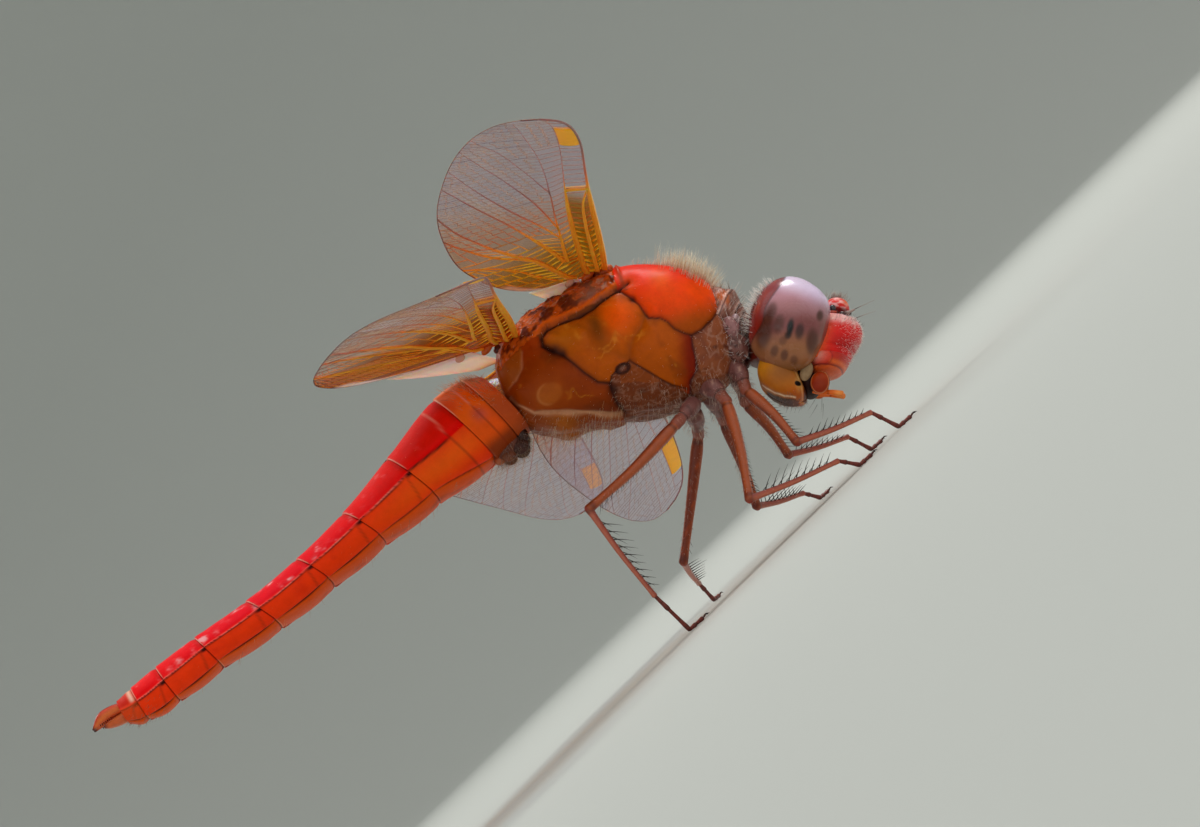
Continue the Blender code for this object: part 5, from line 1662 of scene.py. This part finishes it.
thighFinish = cuticle(
    "thigh_shell", roughness=0.34, coat=0.3, mottle=0.3, mottleSize=0.4, pits=0.5, pitSize=0.1, wrinkle=0.4,
    wrinkleSize=0.14, glow=0.1,
)
shinFinish = cuticle(
    "shin_shell", roughness=0.36, coat=0.25, mottle=0.35, mottleSize=0.3, pits=0.4, pitSize=0.08, wrinkle=0.5,
    wrinkleSize=0.1,
)
spineFinish = cuticle(
    "spine_shell", roughness=0.3, coat=0.3, mottle=0.2, mottleSize=0.2, wrinkle=0.3, wrinkleSize=0.05
)


def paintCoxa(along, angle):
    fine = ripple(np.stack([along * 4, np.sin(angle), np.cos(angle)], 1), 1.2, 81)
    return Paint(len(along), legLook["coxa"]).lay(
        (legLook["coxaWarm"], ramp(along, 0.5, 0.9) * 0.7), ((206, 160, 140), ramp(fine, 0.2, 0.9) * 0.55),
        ((70, 34, 28), ramp(-fine, 0.3, 1.0) * 0.6), ((60, 26, 20), bell(along - 0.66, 0.02) * 0.8),
    ).colour


def paintThigh(along, angle):
    fine = ripple(np.stack([along * 9, np.sin(angle), np.cos(angle)], 1), 1.5, 82)
    return Paint(len(along), legLook["femur"]).lay(
        # the pale mauve side of the thigh is a painted highlight
        (legLook["femurHighlight"], ramp(np.cos(angle + 0.5), 0.1, 0.9) * 0.85),
        (legLook["femurDark"], ramp(-np.cos(angle), 0.3, 1.0) * 0.7), ((210, 84, 14), ramp(fine, 0.2, 1.0) * 0.45),
        ((96, 34, 24), bell(along - 0.97, 0.03) * 0.7), ((70, 26, 20), bell(along - 0.05, 0.015) * 0.6),
    ).colour


def paintShin(along, angle):
    fine = ripple(np.stack([along * 9, np.sin(angle), np.cos(angle)], 1), 1.5, 83)
    return Paint(len(along), legLook["tibia"]).lay(
        # the pale side of the shin is a painted highlight
        ((210, 122, 92), ramp(np.cos(angle + 0.4), 0.2, 1.0) * 0.6),
        (legLook["tibiaDark"], ramp(-np.cos(angle), 0.3, 1.0) * 0.7),
        ((60, 20, 18), bell(along - 0.02, 0.03) * 0.6), ((190, 80, 50), ramp(fine, 0.3, 1.0) * 0.4),
    ).colour


def paintFoot(along, angle):
    return Paint(len(along), legLook["foot"]).lay(
        ((168, 84, 66), ramp(np.cos(angle), 0.1, 1.0) * 0.5),
        ((48, 18, 16), bell(np.mod(along * 3, 1.0) - 0.5, 0.1) * 0.7), ((60, 22, 18), ramp(along, 0.85, 1.0) * 0.8),
    ).colour


def paintClaw(along, angle):
    return Paint(len(along), (44, 16, 14)).lay(((120, 50, 34), ramp(0.4 - along, 0, 0.4) * 0.7)).colour


def squareTo(way, direction):  # the part of a direction that stands square to a limb
    return unit(direction - (direction @ way) * way)


legHairs = []  # where fine hairs stand on the legs: root, direction, length, place on the unrolled leg
for legNumber, (legName, (socket, hip, knee, ankle, heel, toe)) in enumerate(legPlans.items()):
    side = 1 if legName.endswith("left") else -1
    socket = np.array((inTrunk @ Vector(socket))[:])
    hip, knee, ankle, heel, toe = (np.array(place, float) for place in (hip, knee, ankle, heel, toe))
    along = unit(hip - socket)
    width = legLook["coxaWidth"][legName.split("_")[0]]
    widths = (
        (0, width), (0.35, width * 0.95), (0.62, width * 0.72), (0.68, width * 0.62), (0.8, 0.44), (1, 0.4),
    )
    path = [socket - along * 0.2, (socket * 2 + hip) / 3 + (0.1, side * 0.15, 0), hip]
    coxa = [
        tubeMesh("coxa", path, widths, 48, paintCoxa, 50, above=(1, 0, 0.1), ends=0.12),
        blobMesh("coxa", hip, (0.42, 0.4, 0.42), (150, 78, 60)),
    ]
    putPiece("coxa_skin_" + legName, coxa, standing, coxaFinish, ["coxa_" + legName])

    thighWay, shinWay = unit(knee - hip), unit(ankle - knee)
    outer = unit(np.cross(thighWay, np.cross(thighWay, shinWay)))
    path = [hip, (hip + knee) / 2 - outer * legLook["thighBow"], knee]
    thigh = [
        tubeMesh("thigh", path, legLook["thigh"], 40, paintThigh, 90, above=-outer, ends=0.05),
        blobMesh("thigh", knee, (0.3, 0.3, 0.33), (150, 56, 34)),
    ]
    putPiece("thigh_" + legName, thigh, standing, thighFinish, ["femur_" + legName])

    flexor = squareTo(shinWay, hip - knee)
    path = [knee, (knee + ankle) / 2 - flexor * legLook["shinBow"], ankle]
    shin = [tubeMesh("shin", path, legLook["shin"], 32, paintShin, 90, above=-flexor, ends=0.04)]
    heelUp, toeUp = heel + (0, 0, 0.2), toe + (0, 0, 0.15)
    knuckle = ankle + (heelUp - ankle) * 0.4 + (0, 0, 0.02)
    knuckles = [ankle, knuckle, heelUp, heelUp + (toeUp - heelUp) * 0.45, toeUp]
    for first, second, thick in zip(knuckles, knuckles[1:], (0.155, 0.15, 0.145, 0.135)):
        radii = ((0, thick * 0.85), (0.5, thick * 0.92), (0.9, thick * 1.12), (1, thick))
        path = [first, (first + second) / 2, second]
        shin.append(tubeMesh("foot", path, radii, 24, paintFoot, 24, above=(0.1, 0.1, 1), ends=0.14))
    replaced = ["tibia_" + legName, "tarsus_" + legName]
    putPiece("shin_" + legName, shin, standing, shinFinish, replaced)

    spines = []  # root, direction, length, width and bend of each
    across = unit(np.cross(shinWay, flexor))
    short, long = legLook["spineLength"]
    for row in (-1, 1):  # two rows on the inner side of the shin
        for number in range(legLook["spines"]):
            share = 0.14 + 0.78 * (number + 0.5 * (row > 0)) / legLook["spines"]
            reach = np.interp(share, [0, 0.35, 1.0], [short * 1.3, long, short * 0.8])
            reach *= (0.55 if legName.startswith("front") else 1.0) * dice.uniform(0.9, 1.1)
            sag = flexor * legLook["shinBow"] * math.sin(math.pi * share)
            root = knee + (ankle - knee) * share - sag + unit(flexor + across * row * 0.6) * 0.14
            way = flexor * 0.75 + across * row * 0.55 + shinWay * 0.6
            spines.append((root, way, reach, 0.042, shinWay * 0.18))
    inner = squareTo(thighWay, ankle - knee)
    cross = unit(np.cross(thighWay, inner))
    for row in (-1, 1):
        for number in range(legLook["thighSpines"]):
            share = 0.15 + 0.8 * number / legLook["thighSpines"]
            sag = outer * legLook["thighBow"] * math.sin(math.pi * share)
            root = hip + (knee - hip) * share - sag + unit(inner + cross * row * 0.6) * 0.26
            reach = 0.36 + (0.3 if number > 11 else 0) + 0.1 * dice.random()
            way = inner * 0.8 + cross * row * 0.4 + thighWay * 0.7
            spines.append((root, way, reach, 0.03, thighWay * 0.15))
    for joint, (first, second) in enumerate(zip(knuckles, knuckles[1:])):
        way = unit(second - first)
        for number in range(4):
            down = np.array([0, 0, -1.0])
            if joint > 1:  # on the part that lies on the floor they point sideways
                down = np.cross(way, (0, 0, 1)) * (1 if number % 2 else -1)
            root = first + (second - first) * (0.25 + 0.22 * number) + down * 0.1
            spines.append((root, down * 0.5 + way, 0.2, 0.026, way * 0.1))
    black = [opaque(legLook["spine"])] * len(spines)
    claws = [strandsMesh("spines", *zip(*spines), black, sides=6, joints=3)]
    toeWay = unit(toe - heel)
    sideways = np.cross(toeWay, (0, 0, 1))
    tip = toeUp + toeWay * 0.1
    for row in (-1, 1):
        bends = ((0, 0.05, 0), (0.22, 0.16, 0.06), (0.42, 0.2, -0.06))
        path = [tip + toeWay * ahead + sideways * row * out + (0, 0, up) for ahead, out, up in bends]
        claws.append(tubeMesh("claw", path, ((0, 0.065), (0.6, 0.045), (1, 0.014)), 12, paintClaw, 14))
    putPiece("spines_" + legName, claws, standing, spineFinish)

    limbs = ((socket, hip, 0.66, 170, 0.5), (hip, knee, 0.36, 190, 0.26), (knee, ankle, 0.2, 140, 0.22))
    for limb, (first, second, thick, many, reach) in enumerate(limbs):
        way = unit(second - first)
        one = unit(np.cross(way, (0.3, 0.2, 1.0)))
        two = np.cross(way, one)
        for _ in range(many):
            turn = dice.uniform(0, fullTurn)
            out = one * math.cos(turn) + two * math.sin(turn)
            share = dice.uniform(0.05, 0.95)
            strip = (legNumber * 3 + limb + share) / 18
            root = first + (second - first) * share + out * thick * 0.85
            length = reach * dice.uniform(0.6, 1.2)
            legHairs.append((root, out * 0.7 + way * 0.8, length, (strip, turn / fullTurn)))
print("legs made")

wingRoots = (  # share along, share across, drop, size and colour
    (0.008, 0.02, 0.1, (0.62, 0.34, 0.36), (188, 84, 22)), (0.004, 0.16, 0.25, (0.5, 0.4, 0.42), (104, 34, 18)),
    (0.012, 0.3, 0.12, (0.55, 0.3, 0.28), (206, 96, 22)), (0.0, 0.4, 0.32, (0.5, 0.36, 0.36), (84, 28, 20)),
    (0.01, 0.62, 0.16, (0.4, 0.3, 0.26), (226, 180, 160)), (-0.012, 0.3, 0.55, (0.9, 0.45, 0.5), (66, 24, 20)),
)


def webMesh(wing):  # the pale web between the wing's rear corner and the body
    def shape(s, t):
        v = np.clip(0.45 + 0.57 * s, 0, 1)
        outer = wingPoint(wing, 0.012 + 0.012 * s, v) + np.array([-0.25, 0, 0]) * s[:, None]
        body = wingPoint(wing, -0.012 - 0.01 * s, v) - (0.2, 0, 1.05)
        points = outer + (body - outer) * t[:, None]
        points[:, 2] += 0.2 * np.sin(math.pi * t) * np.sin(6 * s)
        paint = Paint(len(s), (255, 252, 250)).lay(
            ((236, 180, 150), bell(t - 0.1, 0.08) * 0.4), ((190, 130, 110), ramp(t, 0.8, 1.0) * 0.5),
        )
        return points, {"tint": paint.colour}

    made = surfaceMesh("wing_root", 26, 14, shape, closed=False)
    thicken(made, 0.07)
    return made


rootLumps, webs = [], []
for name in wingPoses:
    wing = wingNamed(name)
    for s, v, drop, size, tone in wingRoots:
        spot = wingPoint(wing, s, v)[0] - (0, 0, drop)
        turn = (wing["side"] * 20, dice.uniform(-20, 20), 0)
        rootLumps.append(blobMesh("wing_root", spot, size, tone, turn, 28, 18))
    webs.append(webMesh(wing))
rootFinish = cuticle(
    "wing_root_shell", roughness=0.36, coat=0.3, mottle=0.4, mottleSize=0.3, wrinkle=0.9, wrinkleSize=0.12,
    glow=0.15,
)
putPiece("wing_roots", rootLumps, trunkFrame, rootFinish)
webFinish = cuticle(
    "wing_web_skin", roughness=0.4, coat=0.2, mottle=0.12, mottleSize=0.4, wrinkle=0.9, wrinkleSize=0.2, glow=0.8
)
putPiece("wing_webs", webs, trunkFrame, webFinish)
print("wing roots made")


hairFinish, tree, shader, place = startMaterial("fine_hair")
tint, tip = layerOf(tree, "tint"), layerOf(tree, "tip", "Fac")
strandNoise = clouds(tree, place, 0.5, 2.0)
colour = mixColour(tree, rangeOf(tree, tip, 0.2, 1.0, 0.0, 0.7), tint, times(tree, tint, (1.3, 1.28, 1.22)))
darker = times(tree, tint, (0.6, 0.5, 0.42))
feed(tree, shader, {
    "Base Color": mixColour(tree, rangeOf(tree, strandNoise, 0.4, 0.7, 0.0, 0.3), colour, darker),
    "Roughness": rangeOf(tree, tip, 0.0, 1.0, 0.55, 0.4), "Sheen Weight": 0.3, "Subsurface Weight": 0.3,
    "Subsurface Radius": (1.0, 0.8, 0.6), "Subsurface Scale": 0.1 * mm,
})


def hairRoots(piece, place, count, want):  # places on a skin, more of them where want(points, normals) is larger
    mesh = piece.data
    back = (place @ Matrix.Scale(mm, 4)).inverted()
    points = readPoints(mesh)
    normals = np.empty(len(mesh.vertices) * 3)
    mesh.vertices.foreach_get("normal", normals)
    normals = unit(normals.reshape(-1, 3) @ np.array(back.to_3x3()).T)
    points = points @ np.array(back.to_3x3()).T + np.array(back.translation)
    areas = np.empty(len(mesh.polygons))
    mesh.polygons.foreach_get("area", areas)
    loops, totals = np.empty(len(mesh.loops), np.int32), np.empty(len(mesh.polygons), np.int32)
    mesh.loops.foreach_get("vertex_index", loops)
    mesh.polygons.foreach_get("loop_total", totals)
    share = np.zeros(len(points))
    np.add.at(share, loops, np.repeat(areas / totals, totals))
    weight = share * np.clip(want(points, normals), 0, None)
    chosen = dice.choice(len(points), size=count, p=weight / weight.sum())
    spread = np.sqrt(share[chosen])[:, None] / mm * 0.6
    roots = points[chosen] + dice.normal(size=(count, 3)) * spread * 0.5
    roots -= normals[chosen] * (((roots - points[chosen]) * normals[chosen]).sum(1, keepdims=True) + 0.03)
    low, high = points.min(0), points.max(0)
    middle = (low + high) / 2
    turn = np.arctan2(roots[:, 1] - middle[1], roots[:, 2] - middle[2])
    patches = np.stack([(roots[:, 0] - low[0]) / (high[0] - low[0]), turn / fullTurn + 0.5], 1)
    return roots, normals[chosen], patches


def growCoat(name, place, patchwork, more=lambda: []):  # hair on skins, each patch with a look of its own
    meshes = []
    for skin, count, want, lean, upright, (short, long), width, tones in patchwork:
        roots, normals, patches = hairRoots(skin, place, count, want)
        lean = np.array(lean, float)
        ways = unit(normals * upright + lean + dice.normal(size=(count, 3)) * 0.16)
        lengths = dice.uniform(short, long, count) * (0.75 + 0.25 * dice.random(count))
        bends = lean * 0.25 + dice.normal(size=(count, 3)) * 0.1
        colours = np.array([opaque(tone) for tone in tones])[dice.integers(0, len(tones), count)]
        colours[:, :3] *= dice.uniform(0.8, 1.1, (count, 1))
        widths = np.full(count, width)
        meshes.append(strandsMesh(name, roots, ways, lengths, widths, bends, colours, patches=patches))
    putPiece(name, meshes + more(), place, hairFinish)


def hairyOf(skin):  # the skin's own layer of where hair grows
    def layer(points, normals):
        values = np.empty(len(points))
        skin.data.attributes["hairy"].data.foreach_get("value", values)
        return values

    return layer


hairTones = {
    "pale": [(238, 224, 190), (228, 206, 160), (214, 184, 130), (246, 238, 214)],
    "white": [(255, 252, 248), (246, 240, 236), (255, 250, 244)],
    "brown": [(120, 76, 44), (96, 60, 40), (160, 110, 70)],
    "orange": [(206, 120, 60), (176, 96, 44), (228, 160, 96)],
    "black": [(26, 16, 18), (40, 24, 22)],
    "mixed": [(206, 170, 140), (120, 80, 60), (84, 52, 44), (226, 200, 180)],
}
# each row: skin, how many, where, lean, how upright, lengths, width and colours
growCoat("thorax_hair", thoraxFrame, [
    (
        thoraxSkin, 1150, lambda p, n: ramp(p[:, 0], 3.8, 6.2) * ramp(p[:, 2], 1.2, 2.6) * (np.abs(p[:, 1]) < 2.7),
        (0.3, 0, 0.6), 0.9, (0.8, 1.6), 0.013, hairTones["pale"] + [(206, 150, 90)],
    ), (
        thoraxSkin, 260, lambda p, n: ramp(p[:, 0], 2.0, 4.5) * ramp(p[:, 2], 3.2, 4.2) * (np.abs(p[:, 1]) < 2.2),
        (0.3, 0, 0.2), 0.9, (0.35, 0.8), 0.011, hairTones["pale"],
    ), (
        thoraxSkin, 1300, hairyOf(thoraxSkin), (-0.25, 0, -0.3), 0.7, (0.25, 0.6), 0.011, hairTones["mixed"],
    ), (
        thoraxSkin, 180, lambda p, n: ramp(-p[:, 2], 3.2, 4.2) * ramp(-p[:, 0], 0.5, 2.5), (-0.5, 0, -0.5), 0.8,
        (0.4, 1.0), 0.011, hairTones["pale"] + [(206, 140, 50)],
    ), (
        thoraxSkin, 220, lambda p, n: ramp(-p[:, 2], 3.4, 4.6) * ramp(p[:, 0], -1.0, 1.0), (-0.1, 0, -0.5), 0.8,
        (0.4, 1.0), 0.011, hairTones["mixed"],
    ), (
        thoraxSkin, 420, lambda p, n: 0.15 + (np.abs(p[:, 1]) > 1.5) * 0.5, (-0.4, 0, -0.2), 0.5, (0.1, 0.22),
        0.007, hairTones["pale"],
    ),
])
growCoat("abdomen_hair", trunkFrame, [
    (
        abdomenSkin, 900, hairyOf(abdomenSkin), (-0.5, 0, 0.1), 0.8, (0.35, 0.85), 0.013, hairTones["orange"],
    ), (
        abdomenSkin, 160, lambda p, n: ramp(-n[:, 2], 0.3, 0.8) * ramp(-p[:, 0], 5.0, 8.0), (-0.8, 0, -0.2), 0.3,
        (0.1, 0.2), 0.009, hairTones["orange"],
    ), (
        abdomenSkin, 150, lambda p, n: ramp(-p[:, 0], 34.0, 36.5) * ramp(-n[:, 2], -0.2, 0.5), (-0.7, 0, -0.2), 0.6,
        (0.2, 0.42), 0.011, hairTones["brown"],
    ), (
        abdomenSkin, 900, lambda p, n: 0.2 + ramp(n[:, 2], 0.0, 0.8), (-0.9, 0, 0.0), 0.3, (0.08, 0.18), 0.007,
        hairTones["orange"],
    ), (
        hamulePiece, 420, lambda p, n: ramp(-n[:, 2], -0.6, 0.2) + 0.1, (-0.2, 0, -0.5), 0.9, (0.4, 0.9), 0.015,
        hairTones["brown"],
    ),
])


def headBristles():  # a tuft between the eyes, and long hairs under the jaw
    count = 150
    tuft = dice.normal(size=(count, 3)) * (0.28, 0.4, 0.02) + (3.0, 0, 2.36)
    ways = unit(dice.normal(size=(count, 3)) * 0.3 + (0.25, 0, 1.0))
    lengths, bends = dice.uniform(0.35, 0.75, count), dice.normal(size=(count, 3)) * 0.1 + (0.1, 0, 0)
    patches = np.stack([tuft[:, 0] / 8, tuft[:, 1] / 8 + 0.5], 1)
    brown = [opaque((110, 62, 52))] * count
    meshes = [strandsMesh("tuft", tuft, ways, lengths, np.full(count, 0.014), bends, brown, patches=patches)]
    rows = [((2.0, 0.9, -4.8), (-0.45, 0.1, -1.0), 1.05), ((2.4, 0.8, -4.75), (0.08, 0.1, -1.0), 1.15)]
    rows += [((0.9 - 0.3 * k, 0.9 + 0.1 * k, -4.85), (-0.2, 0.1, -1.0), 0.6) for k in range(4)]
    both = [(np.array(root) * (1, side, 1), np.array(way) * (1, side, 1), reach)
            for root, way, reach in rows for side in (1, -1)]
    roots, ways, lengths = zip(*both)
    count = len(both)
    patches = np.stack([np.linspace(0.3, 0.7, count), np.full(count, 0.1)], 1)
    bends, black = [(-0.1, 0, 0)] * count, [opaque((40, 26, 24))] * count
    return meshes + [strandsMesh("beard", roots, ways, lengths, [0.02] * count, bends, black, patches=patches)]


growCoat("head_hair", headFrame, [
    (
        headSkin, 560, lambda p, n: ramp(-n[:, 0], 0.2, 0.6) * ramp(p[:, 2], -1.2, 1.0)
        * ramp(0.75 - np.abs(n[:, 1]), 0.0, 0.3), (-0.3, 0, 0.3), 1.1, (0.45, 0.8), 0.026, hairTones["white"],
    ), (
        headSkin, 1500, lambda p, n: ramp(p[:, 0], 3.0, 4.4), (0.1, 0, -0.3), 0.9, (0.12, 0.28), 0.011,
        hairTones["white"],
    ), (
        headSkin, 160, lambda p, n: ramp(p[:, 0], 2.6, 3.6) * ramp(p[:, 2], -0.4, 0.8), (0.1, 0, 0.2), 0.9,
        (0.2, 0.45), 0.011, hairTones["black"],
    ), (
        jawSkin, 300, lambda p, n: ramp(-p[:, 2], 4.4, 4.9) + 0.02, (0.0, 0, -0.5), 0.8, (0.14, 0.34), 0.01,
        hairTones["brown"],
    ),
], headBristles)
growCoat("collar_hair", trunkFrame, [(
    collarPiece, 1500, lambda p, n: np.ones(len(p)), (0.1, 0, 0.3), 0.9, (0.4, 0.95), 0.014,
    hairTones["white"] + hairTones["mixed"],
)])
count = len(legHairs)
colours = np.array([opaque(tone) for tone in hairTones["mixed"]])[dice.integers(0, 4, count)]
roots, ways, lengths, patches = zip(*legHairs)
bends = dice.normal(size=(count, 3)) * 0.1
legCoat = strandsMesh("leg_hair", roots, ways, lengths, np.full(count, 0.01), bends, colours, patches=patches)
putPiece("leg_hair", legCoat, standing, hairFinish)
print("hair made")


print("done")
